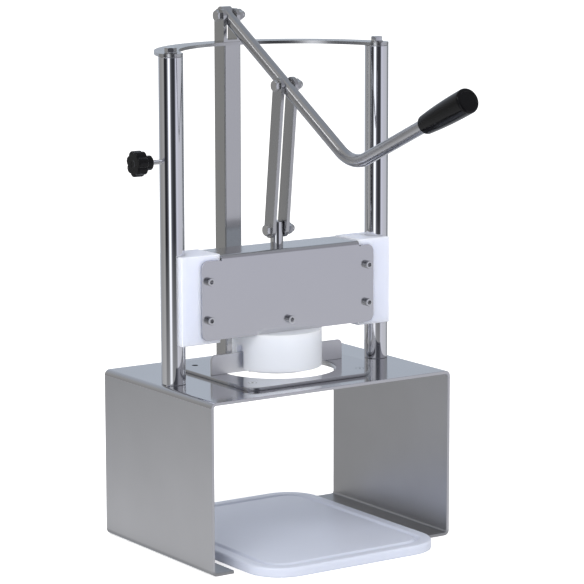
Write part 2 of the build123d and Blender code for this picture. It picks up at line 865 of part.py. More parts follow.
# Catch board

board_left = board_left_gap - foot_inner
board_right = foot_inner - board_right_gap
board_width = board_right - board_left
board_centre = ((board_left + board_right) / 2, board_length / 2 - board_front)

with BuildPart() as catch_board:
    with BuildSketch():
        with Locations(board_centre):
            RectangleRounded(board_width, board_length, board_corner)
    extrude(amount=board_thick)
    fillet(faces().sort_by(Axis.Z)[-1].edges(), radius=board_edge)
    with BuildSketch(Plane.XY.offset(board_thick)) as groove:
        with Locations(board_centre):
            RectangleRounded(
                board_width - 2 * groove_inset,
                board_length - 2 * groove_inset,
                board_corner - groove_inset,
            )
            RectangleRounded(
                board_width - 2 * (groove_inset + groove_width),
                board_length - 2 * (groove_inset + groove_width),
                board_corner - groove_inset - groove_width,
                mode=Mode.SUBTRACT,
            )
    extrude(groove.sketch, amount=-groove_depth, mode=Mode.SUBTRACT)
finish(catch_board, "catch_board")
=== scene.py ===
"""Hand-lever pineapple peeler: its finished surfaces, modelled round the fixed frame."""

import json
import math
from contextlib import contextmanager

import bmesh
import bpy
from bpy.props import FloatProperty, FloatVectorProperty, IntProperty, PointerProperty
from mathutils import Matrix, Vector


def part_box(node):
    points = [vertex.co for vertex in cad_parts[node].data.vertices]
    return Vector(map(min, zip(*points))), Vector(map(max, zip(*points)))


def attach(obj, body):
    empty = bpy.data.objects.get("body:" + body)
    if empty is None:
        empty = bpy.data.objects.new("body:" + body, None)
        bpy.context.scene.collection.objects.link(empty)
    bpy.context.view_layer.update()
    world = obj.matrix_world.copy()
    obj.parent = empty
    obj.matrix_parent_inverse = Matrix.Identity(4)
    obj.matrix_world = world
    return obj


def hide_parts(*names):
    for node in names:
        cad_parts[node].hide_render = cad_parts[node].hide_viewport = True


bl_info = {
    "name": "Pineapple Peeler",
    "version": (1, 0, 0),
    "blender": (4, 5, 0),
    "location": "View3D > Sidebar > Peeler",
    "description": "Builds a hand-lever pineapple peeler and its studio",
    "category": "Add Mesh",
}

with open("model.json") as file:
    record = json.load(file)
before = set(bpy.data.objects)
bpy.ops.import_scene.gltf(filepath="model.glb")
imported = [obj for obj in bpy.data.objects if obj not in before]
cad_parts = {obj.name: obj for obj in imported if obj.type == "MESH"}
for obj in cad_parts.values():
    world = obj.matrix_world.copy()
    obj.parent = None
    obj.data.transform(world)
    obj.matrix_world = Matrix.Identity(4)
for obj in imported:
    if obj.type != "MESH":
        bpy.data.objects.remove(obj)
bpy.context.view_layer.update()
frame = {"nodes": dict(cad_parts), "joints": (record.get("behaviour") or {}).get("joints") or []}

ACROSS = Vector((1, 0, 0))
BACK = Vector((0, 1, 0))
UP = Vector((0, 0, 1))

# Nearness of two places, in metres, and of a direction to an axis.
TINY = 1e-5
NEARLY = 0.9

# How far a cutting tool runs on past what it cuts, in metres.
OVERRUN = 0.005

# Sharpest angle between faces that still shade as one.
SMOOTH_ANGLE = math.radians(32)


def length(label, value, about):
    """A size that the user can change, in metres."""
    return FloatProperty(name=label, description=about, default=value, min=0, unit="LENGTH")


def angle(label, degrees, about):
    """An angle that the user can change, given in degrees."""
    return FloatProperty(name=label, description=about, default=math.radians(degrees), subtype="ANGLE")


def color(label, value, about):
    """A colour that the user can change."""
    return FloatVectorProperty(
        name=label, description=about, default=value, size=3, min=0, max=1, subtype="COLOR"
    )


class PeelerSizes(bpy.types.PropertyGroup):
    """Sizes of what the frame leaves open: bends, edges, holes and small shapes."""

    sheet: length("Base sheet", 0.004, "Thickness of the bent base")
    sheet_edge: length("Base edge", 0.0004, "Edge break of the base")
    base_bend: length("Base bend", 0.007, "Outer radius of the base's bends")
    foot_width: length("Foot width", 0.031, "Width of each foot flange")
    drop_hole: length("Drop hole radius", 0.076, "Hole in the base under the cutter plate")

    cut_hole: length("Cutter plate hole radius", 0.074, "Hole in the cutter plate round the knives")
    plate_round: length("Cutter plate round", 0.117, "Radius of the cutter plate's right side")
    plate_corner: length("Cutter plate corner", 0.017, "Radius of the cutter plate's left corners")
    plate_rim: length("Cutter plate rim", 0.0012, "Rounding of the cutter plate's rims")
    locating_hole: length("Locating hole radius", 0.004, "Open hole at the rear left of the plate")
    plate_screw_radius: length("Plate screw radius", 0.0025, "Shank of the cutter plate's screws")
    plate_screw_head: length("Plate screw head", 0.0048, "Head radius of the cutter plate's screws")
    plate_screw_socket: length("Plate screw socket", 0.003, "Hexagon socket of the plate's screws")
    seat_gap: length("Seat gap", 0.0005, "Gap round a screw's head in the cutter plate")
    seat_depth: length("Seat depth", 0.0024, "Depth of the screws' seats in the cutter plate")

    ring_wall: length("Ring knife wall", 0.0015, "Wall of the ring knife")
    core_wall: length("Core knife wall", 0.0012, "Wall of the core knife")
    knife_bevel: length("Knife bevel", 0.006, "Height of the ground edge on the round knives")
    knife_edge: length("Knife edge", 0.0002, "Width left at the cutting edge")
    spoke_height: length("Spoke height", 0.0042, "Height of the core knife's spokes")
    spoke_thick: length("Spoke thickness", 0.0012, "Thickness of the core knife's spokes")
    splitter_corner: length("Splitter corner", 0.006, "Radius of a splitter blade's outer top corner")
    weld_gap: length("Weld gap", 0.00002, "Gap between the ring knife and the splitter blades")

    column_edge: length("Column edge", 0.001, "Chamfer at the ends of the columns")
    mast_wall: length("Mast wall", 0.0025, "Wall of the square mast tube")
    mast_corner: length("Mast corner", 0.002, "Outer corner radius of the mast tube")
    fork_slot: length("Fork slot", 0.015, "Gap between the ears of the lever fork")
    fork_floor: length("Fork floor", 0.003, "Thickness of the fork's floor")
    ear_rise: length("Ear rise", 0.0085, "How far the fork's ears stand above the pivot")
    fork_screw_head: length("Fork screw head", 0.0058, "Head radius of the fork's screw")
    fork_screw_socket: length("Fork screw socket", 0.004, "Hexagon socket of the fork's screw")

    flat_width: length("Flat width", 0.0142, "Thickness of the lever and stud at their pins")
    pivot_flat: length("Pivot flat", 0.022, "Half length of the lever's flats at its pivot")
    link_flat: length("Link flat", 0.019, "Half length of the lever's flats at the links")
    rod_radius: length("Lever radius", 0.008, "Radius of the lever bar")
    rod_bend: length("Lever bend", 0.06, "Radius of the lever's bend, on its middle line")
    rod_tail: length("Lever tail", 0.00595, "How far the lever runs on behind its pivot")
    rod_upper: length("Lever upper run", 0.320, "From the pivot to the corner of the bend")
    rod_lower: length("Lever lower run", 0.225, "From the corner of the bend to the end of the bar")
    rod_rise: angle("Lever lower rise", 23.5, "Rise of the lower run")
    grip_place: length("Grip place", 0.1545, "From the corner of the bend to the grip")
    grip_length: length("Grip length", 0.0885, "Length of the grip")
    grip_start: length("Grip start", 0.0118, "Radius of the grip where the lever enters")
    grip_flare: length("Grip flare", 0.078, "Length over which the grip swells")
    grip_edge: length("Grip edge", 0.0035, "Rounding of the grip's two rims")
    grip_dish: length("Grip dish", 0.0006, "Depth of the dish in the grip's end")

    bend_sheet: length("Head sheet", 0.003, "Thickness of the head's bent sheet")
    head_bend: length("Head bend", 0.005, "Outer radius of the head's bends")
    block_gap: length("Block gap", 0.0005, "Gap between the head's web and the guide blocks")
    head_ear_top: length("Head face drop", 0.0057, "How far the faces' tops lie below the web")
    head_corner: length("Head corner", 0.0085, "Corner radius of the head's faces")
    relief_width: length("Relief width", 0.0024, "Width of the bend relief cuts")
    relief_depth: length("Relief depth", 0.0008, "Depth of the bend relief cuts")
    block_edge: length("Block edge", 0.001, "Edge bevel of the guide blocks")
    slide_gap: length("Slide gap", 0.0003, "Clearance of the guide blocks round the columns")

    pusher_edge: length("Pusher edge", 0.0015, "Rounding of the pusher's lower rim")
    knife_gap: length("Knife gap", 0.0006, "Clearance beside the knives in the pusher")
    knife_room: length("Knife room", 0.0015, "Clearance above the knives in the pusher")
    slot_half: length("Slot half width", 0.008, "Half width of the pusher's slots")
    slot_wall: length("Slot wall", 0.004, "Wall left between a slot and the ring groove")
    slit_half: length("Slit half width", 0.0025, "Half width of the slit through that wall")
    slot_rise: length("Slot rise", 0.031, "Height of the pusher's slots")
    tenon_half: length("Tenon half width", 0.040, "Half width of the pusher's tenon in the head")
    tenon_root: length("Tenon root", 0.004, "How deep the tenon starts in the pusher")
    stud_neck: length("Stud neck", 0.006, "Radius of the stud inside the head")
    stud_edge: length("Stud edge", 0.001, "Chamfer at the top of the stud")
    stud_flat: length("Stud flat", 0.026, "Height of the stud's flats")

    pin_radius: length("Pin radius", 0.004, "Radius of the pivot bolts")
    running_gap: length("Running gap", 0.00008, "Clearance round the pivot bolts")
    bolt_gap: length("Bolt gap", 0.00025, "Clearance round the bolts in their washers")
    bolt_across: length("Bolt head across flats", 0.013, "Hexagon of the pivot and arch bolts")
    bolt_head: length("Bolt head height", 0.0053, "Height of the pivot bolts' heads")
    foot_across: length("Foot bolt across flats", 0.017, "Hexagon of the column foot bolts")
    foot_bolt_radius: length("Foot bolt radius", 0.005, "Radius of the column foot bolts")
    nut_height: length("Nut height", 0.0065, "Hexagon height of the domed nuts")
    dome_radius: length("Dome radius", 0.0056, "Radius of the nuts' domes")
    screw_radius: length("Screw radius", 0.003, "Shank of the head's and fork's screws")
    screw_head: length("Screw head", 0.005, "Head radius of the head's screws")
    screw_height: length("Screw height", 0.006, "Height of the screws' heads")
    screw_length: length("Screw length", 0.020, "Shank length of the head's screws")
    screw_socket: length("Screw socket", 0.005, "Hexagon socket of the head's screws")
    screw_row: length("Screw row", 0.025, "Height of the lower screws above the head's foot")
    screw_rim: length("Screw rim", 0.0006, "Rounding of the screws' heads")
    screw_edge: length("Screw edge", 0.00012, "Edge break of the head's screws")
    fine_edge: length("Fine edge", 0.0002, "Edge break of the fork and the nuts")
    bolt_edge: length("Bolt edge", 0.00025, "Edge break of the bolts")
    thin_edge: length("Thin edge", 0.0003, "Edge break of the lever, head, pusher and stud")
    bar_edge: length("Bar edge", 0.0005, "Edge break of the links, arch and splitter blades")

    board_corner: length("Board corner", 0.047, "Corner radius of the catch board")
    board_edge: length("Board edge", 0.003, "Rounding of the catch board's rim")
    groove_inset: length("Groove inset", 0.014, "Distance of the juice groove from the rim")
    groove_width: length("Groove width", 0.009, "Width of the juice groove")
    groove_depth: length("Groove depth", 0.003, "Depth of the juice groove")
    groove_edge: length("Groove edge", 0.0014, "Rounding of the juice groove's edges")

    knob_lobes: IntProperty(name="Knob lobes", description="Number of lobes on the knob", default=7, min=3)
    knob_turn: angle("Knob turn", 10.7, "Turn of the first lobe")
    lobe_radius: length("Lobe radius", 0.0066, "Radius of one lobe")
    lobe_ring: length("Lobe ring", 0.0094, "Distance of the lobes from the knob's axis")
    lobe_edge: length("Lobe edge", 0.002, "Rounding of a lobe's rims")
    hub_radius: length("Knob hub radius", 0.009, "Radius of the knob's hub")
    hub_length: length("Knob hub length", 0.0105, "Length of the knob's hub")
    hub_edge: length("Hub edge", 0.0008, "Rounding of the hub's rims")
    hub_drop: length("Hub drop", 0.0006, "How far the hub's end lies below the lobes")
    thread_pitch: length("Thread pitch", 0.001, "Distance between the lock screw's threads")


class PeelerColors(bpy.types.PropertyGroup):
    """Colours of the finishes."""

    sheet: color("Base sheet", (0.62, 0.62, 0.64), "Brushed stainless of the base")
    plate: color("Cutter plate", (0.56, 0.56, 0.58), "Smooth stainless of the cutter plate")
    head: color("Head sheet", (0.63, 0.63, 0.65), "Satin stainless of the head")
    knife: color("Knives", (0.86, 0.86, 0.87), "Ground stainless of the knives")
    column: color("Columns", (0.76, 0.76, 0.78), "Polished stainless of the columns")
    mast: color("Mast", (0.56, 0.56, 0.56), "Satin stainless of the mast, arch and fork")
    link: color("Links", (0.52, 0.52, 0.53), "Satin stainless of the links")
    lever: color("Lever", (0.58, 0.58, 0.60), "Satin stainless of the lever")
    bright: color("Bright fasteners", (0.66, 0.66, 0.67), "Polished stainless fasteners")
    plastic: color("White plastic", (0.75, 0.785, 0.925), "Milky plastic of the guide blocks")
    # Painted light: lighter than the guide blocks' plastic, standing in for light the pusher misses under
    # the head.
    pusher: color("Pusher plastic", (0.83, 0.86, 1.0), "Milky plastic of the pusher")
    board: color("Board", (0.67, 0.71, 0.83), "White plastic of the catch board")
    black: color("Black plastic", (0.003, 0.003, 0.0035), "Black plastic of the grip and knob")


class PeelerStudio(bpy.types.PropertyGroup):
    """Camera and light."""

    eye: FloatVectorProperty(
        name="Camera place",
        description="Where the camera stands, in metres",
        default=(-1.8766, -2.8160, 0.8888),
        size=3,
        subtype="TRANSLATION",
        unit="LENGTH",
    )
    turn: angle("Camera turn", 33.999, "Turn to the right of straight ahead")
    tip: angle("Camera tip", 9.691, "Tip down from level")
    roll: angle("Camera roll", 0.114, "Roll to the right")
    lens: FloatProperty(name="Lens", description="Focal length, in millimetres", default=169.71, min=1)
    sensor: FloatProperty(name="Sensor", description="Sensor width, in millimetres", default=36.0, min=1)
    ambient: FloatProperty(name="Ambient", description="Light all round matt surfaces", default=0.80, min=0)


def sizes():
    """The sizes on the scene."""
    return bpy.context.scene.peeler_sizes


def colors():
    """The colours on the scene."""
    return bpy.context.scene.peeler_colors


# Modelling helpers


@contextmanager
def editing(piece):
    """Edit mode on one piece."""
    bpy.ops.object.select_all(action="DESELECT")
    piece.select_set(True)
    bpy.context.view_layer.objects.active = piece
    bpy.ops.object.mode_set(mode="EDIT")
    yield piece
    bpy.ops.object.mode_set(mode="OBJECT")


def pick(piece, kind, test):
    """Select the vertices, edges or faces whose middle and direction pass the test."""
    bpy.ops.mesh.select_mode(type=kind)
    bpy.ops.mesh.select_all(action="DESELECT")
    mesh = bmesh.from_edit_mesh(piece.data)
    if kind == "VERT":
        for vertex in mesh.verts:
            vertex.select_set(test(vertex.co, vertex.normal))
    if kind == "EDGE":
        for edge in mesh.edges:
            start, end = (vertex.co for vertex in edge.verts)
            edge.select_set(test((start + end) / 2, (end - start).normalized()))
    if kind == "FACE":
        for face in mesh.faces:
            face.select_set(test(face.calc_center_median(), face.normal))
    mesh.select_flush_mode()
    bmesh.update_edit_mesh(piece.data)


def added(name):
    """Name the primitive just added and put its place into its mesh."""
    piece = bpy.context.object
    piece.name = name
    piece.data.name = name
    bpy.ops.object.transform_apply(location=True, rotation=True, scale=True)
    return piece


def placed(piece, origin, along, facing):
    """Move a piece's own X to `along`, its Z to `facing` and its origin to a point."""
    along, facing = Vector(along).normalized(), Vector(facing).normalized()
    across = facing.cross(along)
    turn = Matrix((along, across, facing)).transposed().to_4x4()
    piece.data.transform(Matrix.Translation(Vector(origin)) @ turn)
    return piece


def upright(direction):
    """Any direction square to the given one."""
    direction = Vector(direction)
    other = UP if abs(direction.z) < NEARLY else ACROSS
    return other.cross(direction).normalized()


def block(name, low, high):
    """Box between two corners."""
    low, high = Vector(low), Vector(high)
    bpy.ops.mesh.primitive_cube_add(size=1, location=(low + high) / 2, scale=high - low)
    return added(name)


def rod(name, radius, depth, foot, direction, sides=64):
    """Round bar from its foot along a direction."""
    centre = (0, 0, depth / 2)
    bpy.ops.mesh.primitive_cylinder_add(vertices=sides, radius=radius, depth=depth, location=centre)
    return placed(added(name), foot, upright(direction), direction)


def turned(name, outline, sides=64, closed=False):
    """Round piece about Z: a circle is extruded and resized along an outline of radii and heights."""
    radius, height = outline[0]
    fill = "NOTHING" if closed else "NGON"
    centre = (0, 0, height)
    bpy.ops.mesh.primitive_circle_add(vertices=sides, radius=radius, fill_type=fill, location=centre)
    piece = added(name)
    steps = list(outline[1:]) + ([outline[0]] if closed else [])
    with editing(piece):
        bpy.ops.mesh.select_all(action="SELECT")
        for next_radius, next_height in steps:
            rise = {"value": (0, 0, next_height - height)}
            bpy.ops.mesh.extrude_region_move(TRANSFORM_OT_translate=rise)
            share = next_radius / radius
            bpy.ops.transform.resize(value=(share, share, 1), center_override=(0, 0, next_height))
            radius, height = next_radius, next_height
        bpy.ops.mesh.select_all(action="SELECT")
        bpy.ops.mesh.remove_doubles(threshold=TINY / 10)
        bpy.ops.mesh.normals_make_consistent(inside=False)
    return piece


def corner(radius, height, size, start, end, count=5):
    """Outline points round a corner: its centre, its size and the angles it runs between."""
    ways = [math.radians(start + (end - start) * step / count) for step in range(count + 1)]
    return [(radius + size * math.cos(way), height + size * math.sin(way)) for way in ways]


def bevel_edges(piece, test, size, segments):
    """Round the edges that pass the test."""
    with editing(piece):
        pick(piece, "EDGE", test)
        bpy.ops.mesh.bevel(offset=size, segments=segments, affect="EDGES")
    return piece


def modify(piece, kind, **settings):
    """Add a modifier and apply it."""
    bpy.ops.object.select_all(action="DESELECT")
    piece.select_set(True)
    bpy.context.view_layer.objects.active = piece
    modifier = piece.modifiers.new(kind.title(), kind)
    for key, value in settings.items():
        setattr(modifier, key, value)
    bpy.ops.object.modifier_apply(modifier=modifier.name)
    return piece


def combine(piece, tool, operation):
    """Union, difference or intersection with a tool, which is used up."""
    modify(piece, "BOOLEAN", object=tool, operation=operation, solver="EXACT")
    bpy.data.objects.remove(tool)
    return piece


def cut(piece, *tools):
    """Take tools away from a piece."""
    for tool in tools:
        combine(piece, tool, "DIFFERENCE")
    return piece


def drilled(piece, radius, start, direction, depth, sides=48):
    """Cut a round hole through a piece, running on past both ends."""
    start = Vector(start) - direction * OVERRUN
    return cut(piece, rod("drill", radius, depth + 2 * OVERRUN, start, direction, sides))


def joined(pieces, name):
    """Several pieces as one mesh."""
    bpy.ops.object.select_all(action="DESELECT")
    for piece in pieces:
        piece.select_set(True)
    bpy.context.view_layer.objects.active = pieces[0]
    bpy.ops.object.join()
    pieces[0].name = name
    pieces[0].data.name = name
    return pieces[0]


def copied(piece, name, turn):
    """A copy of a piece, with its own mesh, moved by a matrix."""
    copy = piece.copy()
    copy.data = piece.data.copy()
    copy.name = name
    bpy.context.scene.collection.objects.link(copy)
    copy.data.transform(turn)
    return copy


def shade(piece, edge=0.0, segments=2, limit=SMOOTH_ANGLE):
    """Break the sharp edges and shade what is round."""
    if edge > 0:
        modify(
            piece, "BEVEL", width=edge, segments=segments, limit_method="ANGLE", angle_limit=limit,
            miter_outer="MITER_ARC",
        )
    bpy.ops.object.select_all(action="DESELECT")
    piece.select_set(True)
    bpy.context.view_layer.objects.active = piece
    bpy.ops.object.shade_smooth_by_angle(angle=limit)
    modify(piece, "WEIGHTED_NORMAL", keep_sharp=True)
    return piece


def hand_in(piece, body, slot, material, *nodes):
    """Give a finished piece its material and tie it to the frame."""
    piece.data.materials.clear()
    piece.data.materials.append(material)
    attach(piece, body)
    if nodes:
        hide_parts(*nodes)
    return piece


def middle(node):
    """Middle of a frame node."""
    low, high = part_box(node)
    return (low + high) / 2


# Materials


class Wire:
    """A shader socket that ordinary arithmetic can be written with."""

    def __init__(self, tree, socket=None):
        self.tree = tree
        self.socket = socket

    def node(self, kind, settings=None, inputs=None, output=0):
        """Add a node of any type and return one of its outputs."""
        made = self.tree.nodes.new(kind)
        for key, value in (settings or {}).items():
            if key == "stops":
                ramp = made.color_ramp
                while len(ramp.elements) < len(value):
                    ramp.elements.new(1)
                for element, (place, shade_value) in zip(ramp.elements, value):
                    element.position = place
                    element.color = (*shade_value, 1)
            else:
                setattr(made, key, value)
        for key, value in (inputs or {}).items():
            if isinstance(value, Wire):
                self.tree.links.new(value.socket, made.inputs[key])
            else:
                made.inputs[key].default_value = value
        return Wire(self.tree, made.outputs[output]) if made.outputs else None

    def math(self, operation, *values):
        """A Math node."""
        return self.node("ShaderNodeMath", {"operation": operation}, dict(enumerate(values)))

    def ramp(self, stops, factor):
        """A Color Ramp of places and colours."""
        return self.node("ShaderNodeValToRGB", {"stops": stops}, {"Fac": factor})

    def mix(self, first, second):
        """Blend of two colours by this mask."""
        inputs = {"Factor": self, 6: first, 7: second}
        return self.node("ShaderNodeMix", {"data_type": "RGBA"}, inputs, output=2)

    def __add__(self, other):
        return self.math("ADD", self, other)

    def __sub__(self, other):
        return self.math("SUBTRACT", self, other)

    def __mul__(self, other):
        return self.math("MULTIPLY", self, other)

    def __rsub__(self, other):
        return self.math("SUBTRACT", other, self)

    __radd__ = __add__
    __rmul__ = __mul__


def steps(low, high):
    """Ramp stops from black at one place to white at another."""
    return [(low, (0, 0, 0)), (high, (1, 1, 1))]


def emptied(owner):
    """The node tree of a material or world, emptied, as a wire."""
    owner.use_nodes = True
    owner.node_tree.nodes.clear()
    return Wire(owner.node_tree)


def begin(name):
    """A new material, its node tree as a wire and its object coordinates."""
    material = bpy.data.materials.new(name)
    wire = emptied(material)
    return material, wire, wire.node("ShaderNodeTexCoord", output=3)


def noise(wire, place, scale, detail=3.0, stretch=(1, 1, 1)):
    """Noise of a scale, drawn out along an axis."""
    mapped = wire.node("ShaderNodeMapping", inputs={"Vector": place, "Scale": stretch})
    return wire.node("ShaderNodeTexNoise", inputs={"Vector": mapped, "Scale": scale, "Detail": detail})


def close(wire, base, rough, bump, metallic=1.0, strength=0.1, **fixed):
    """Finish a material: a principled surface with its colour, roughness and relief."""
    relief = {"Height": bump, "Strength": strength, "Distance": 0.0001}
    inputs = {"Base Color": base, "Roughness": rough, "Metallic": metallic}
    inputs["Normal"] = wire.node("ShaderNodeBump", inputs=relief)
    inputs.update({key.replace("_", " "): value for key, value in fixed.items()})
    surface = wire.node("ShaderNodeBsdfPrincipled", inputs=inputs)
    wire.node("ShaderNodeOutputMaterial", inputs={"Surface": surface})


def opaque(value):
    """A colour with full alpha."""
    return (*value, 1)


def tinted(value, share):
    """The same colour, lighter or darker."""
    return tuple(min(1.0, channel * share) for channel in value)


def steel(
    name, base, rough, grain=(1, 1, 1), fine=60.0, blotch=0.03, relief=0.0, spread=0.03, top=None, foot=None
):
    """Stainless steel: faint grain and soft blotches. It can be smoother above one height and
    carry painted shade, darker, below another."""
    material, wire, place = begin(name)
    lines = noise(wire, place, fine, detail=2.0, stretch=grain)
    cloud = noise(wire, place, scale=9.0, detail=2.0)
    smudge = noise(wire, place, scale=38.0, detail=4.0)
    patch = wire.ramp(steps(0.3, 0.72), cloud)
    streak = wire.ramp(steps(0.25, 0.75), lines)
    dull = wire.ramp(steps(0.45, 0.8), smudge)
    dark, light = opaque(tinted(base, 1 - blotch)), opaque(tinted(base, 1 + blotch / 2))
    shade_color = (patch * 0.8 + streak * 0.2).mix(dark, light)
    roughness = streak * spread + dull * spread + (rough - spread)
    height = wire.node("ShaderNodeSeparateXYZ", inputs={"Vector": place}, output=2)
    # Painted shade: below a height the colour darkens, standing in for the shade near the floor.
    if foot is not None:
        start, end, share = foot
        shade_color = wire.ramp(steps(start, end), height).mix(opaque(tinted(base, share)), shade_color)
    if top is not None:
        start, share = top
        above = wire.math("GREATER_THAN", height, start)
        roughness = roughness * (1 - above * (1 - share))
    close(wire, shade_color, roughness, lines, strength=relief)
    return material


def plastic(name, base, rough, mark=0.02, specular=0.5, subsurface=0.0):
    """Machined or moulded plastic: faint cutter marks, specks and a soft change of gloss."""
    material, wire, place = begin(name)
    cloud = noise(wire, place, scale=14.0, detail=3.0)
    speck = noise(wire, place, scale=420.0, detail=2.0)
    mill = noise(wire, place, scale=160.0, detail=2.0, stretch=(1, 1, 12))
    patch = wire.ramp(steps(0.3, 0.7), cloud)
    shade_color = patch.mix(opaque(tinted(base, 1 - mark)), opaque(base))
    roughness = patch * 0.05 + speck * 0.03 + (rough - 0.05)
    close(
        wire, shade_color, roughness, speck * 0.5 + mill * 0.5, metallic=0.0, strength=0.04,
        Specular_IOR_Level=specular, Subsurface_Weight=subsurface, Subsurface_Radius=(1, 1, 1),
        Subsurface_Scale=0.010,
    )
    return material


def make_materials():
    """Every finish, by name."""
    tone, size = colors(), sizes()
    base_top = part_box("base_frame")[1].z - size.base_bend
    upright_grain, level_grain = (40, 40, 1), (40, 1, 1)
    return {
        # The base sheet's feet carry painted shade, darker below its bends.
        "sheet": steel(
            "brushed_sheet", tone.sheet, rough=0.36, grain=(30, 30, 1), fine=40.0, blotch=0.05,
            relief=0.01, spread=0.04, top=(base_top, 0.35), foot=(size.sheet, size.base_bend, 0.6),
        ),
        "plate": steel("smooth_plate", tone.plate, rough=0.12, fine=50.0, blotch=0.04, relief=0.01),
        "head": steel(
            "satin_head", tone.head, rough=0.20, grain=(1, 1, 12), fine=150.0, blotch=0.015, spread=0.02
        ),
        "knife": steel("ground_knife", tone.knife, rough=0.34, grain=(1, 1, 30), fine=90.0, relief=0.01),
        "column": steel(
            "polished_column", tone.column, rough=0.05, grain=(1, 1, 60), blotch=0.01, spread=0.02
        ),
        "mast": steel("satin_mast", tone.mast, rough=0.14, grain=upright_grain),
        "arch": steel("satin_arch", tone.mast, rough=0.26),
        "link": steel(
            "satin_link", tone.link, rough=0.24, grain=upright_grain, blotch=0.04, relief=0.005
        ),
        "lever": steel("satin_lever", tone.lever, rough=0.18, grain=level_grain, spread=0.02),
        "bright": steel(
            "bright_fastener", tone.bright, rough=0.06, fine=160.0, blotch=0.04, spread=0.02
        ),
        "white": plastic("white_plastic", tone.plastic, rough=0.40, subsurface=0.9),
        # The pusher's lighter plastic is painted light, standing in for light under the head.
        "pusher": plastic("pusher_plastic_painted_light", tone.pusher, rough=0.40, subsurface=0.9),
        "board": plastic("board_plastic", tone.board, rough=0.36, mark=0.03, subsurface=0.3),
        "grip": plastic("gloss_black", tone.black, rough=0.12, mark=0.10, specular=0.22),
        "knob": plastic("satin_black", tone.black, rough=0.28, mark=0.10, specular=0.24),
    }


finishes = {}


def finish_of(name):
    """A material by its short name, all of them made on first use."""
    if not finishes:
        finishes.update(make_materials())
    return finishes[name]


# Pieces


class PEELER_OT_base(bpy.types.Operator):
    """Bent sheet base with its drop hole"""

    bl_idname = "peeler.base"
    bl_label = "Base"

    def execute(self, context):
        size = sizes()
        low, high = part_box("base_frame")
        piece = block("base_sheet", low, high)
        with editing(piece):
            pick(piece, "FACE", lambda at, way: abs(way.y) > NEARLY or way.z < -NEARLY)
            bpy.ops.mesh.delete(type="FACE")
            for side in (-1, 1):
                pick(piece, "EDGE", lambda at, way: at.z < low.z + TINY and at.x * side > high.x - TINY)
                inward = {"value": (-side * size.foot_width, 0, 0)}
                bpy.ops.mesh.extrude_region_move(TRANSFORM_OT_translate=inward)
            pick(piece, "EDGE", lambda at, way: abs(way.y) > NEARLY and abs(at.x) > high.x - TINY)
            bpy.ops.mesh.bevel(offset=size.base_bend, segments=8, affect="EDGES")
            bpy.ops.mesh.select_all(action="SELECT")
            bpy.ops.mesh.normals_make_consistent(inside=False)
        modify(piece, "SOLIDIFY", thickness=size.sheet, offset=-1, use_even_offset=True)
        drilled(piece, size.drop_hole, (0, 0, high.z - size.sheet), UP, size.sheet, sides=128)
        shade(piece, size.sheet_edge)
        hand_in(piece, "frame", "sheet_steel", finish_of("sheet"), "base_frame")
        return {"FINISHED"}


class PEELER_OT_cutter_plate(bpy.types.Operator):
    """Cutter plate, straight on its left and round on its right"""

    bl_idname = "peeler.cutter_plate"
    bl_label = "Cutter plate"

    def execute(self, context):
        size = sizes()
        low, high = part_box("cutter_plate")
        thick = high.z - low.z
        disc = rod("disc", size.plate_round, thick, (0, 0, low.z), UP, sides=192)
        with editing(disc):
            for edge_at, outward in ((low, -BACK), (high, BACK), (low, -ACROSS)):
                bpy.ops.mesh.select_all(action="SELECT")
                bpy.ops.mesh.bisect(plane_co=edge_at, plane_no=outward, clear_outer=True, use_fill=True)
        x, y = low.x + size.plate_corner, high.y - size.plate_corner
        spots = [(x, side * y, low.z) for side in (-1, 1)]
        corners = [rod("corner", size.plate_corner, thick, spot, UP, sides=48) for spot in spots]
        piece = joined([disc, *corners], "cutter_plate_sheet")
        with editing(piece):
            bpy.ops.mesh.select_all(action="SELECT")
            bpy.ops.mesh.convex_hull()
            bpy.ops.mesh.select_all(action="SELECT")
            bpy.ops.mesh.dissolve_limited(angle_limit=math.radians(0.3))
        drilled(piece, size.cut_hole, (0, 0, low.z), UP, thick, sides=160)
        shade(piece, size.plate_rim, segments=4)
        spots = screw_spots()
        x, y = spots[0][0], -spots[0][1]
        drilled(piece, size.locating_hole, (x, y, low.z), UP, thick)
        seat = size.plate_screw_head + size.seat_gap
        for x, y in spots:
            cut(piece, rod("seat", seat, OVERRUN, (x, y, high.z - size.seat_depth), UP, sides=48))
        shade(piece)
        hand_in(piece, "frame", "plate_steel", finish_of("plate"), "cutter_plate")
        return {"FINISHED"}


def screw_spots():
    """Middles of the cutter plate's three screws."""
    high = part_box("cutter_plate_screws")[1]
    head = sizes().plate_screw_head
    x, y = high.x - head, high.y - head
    return [(-x, -y), (x, -y), (x, y)]


def round_knife(name, node, outer, wall, sides):
    """Round knife, ground to an edge from its outside."""
    size = sizes()
    low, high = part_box(node)
    bore = outer - wall
    outline = [
        (bore, low.z),
        (outer, low.z),
        (outer, high.z - size.knife_bevel),
        (bore + size.knife_edge, high.z),
        (bore, high.z),
    ]
    return turned(name, outline, sides, closed=True)


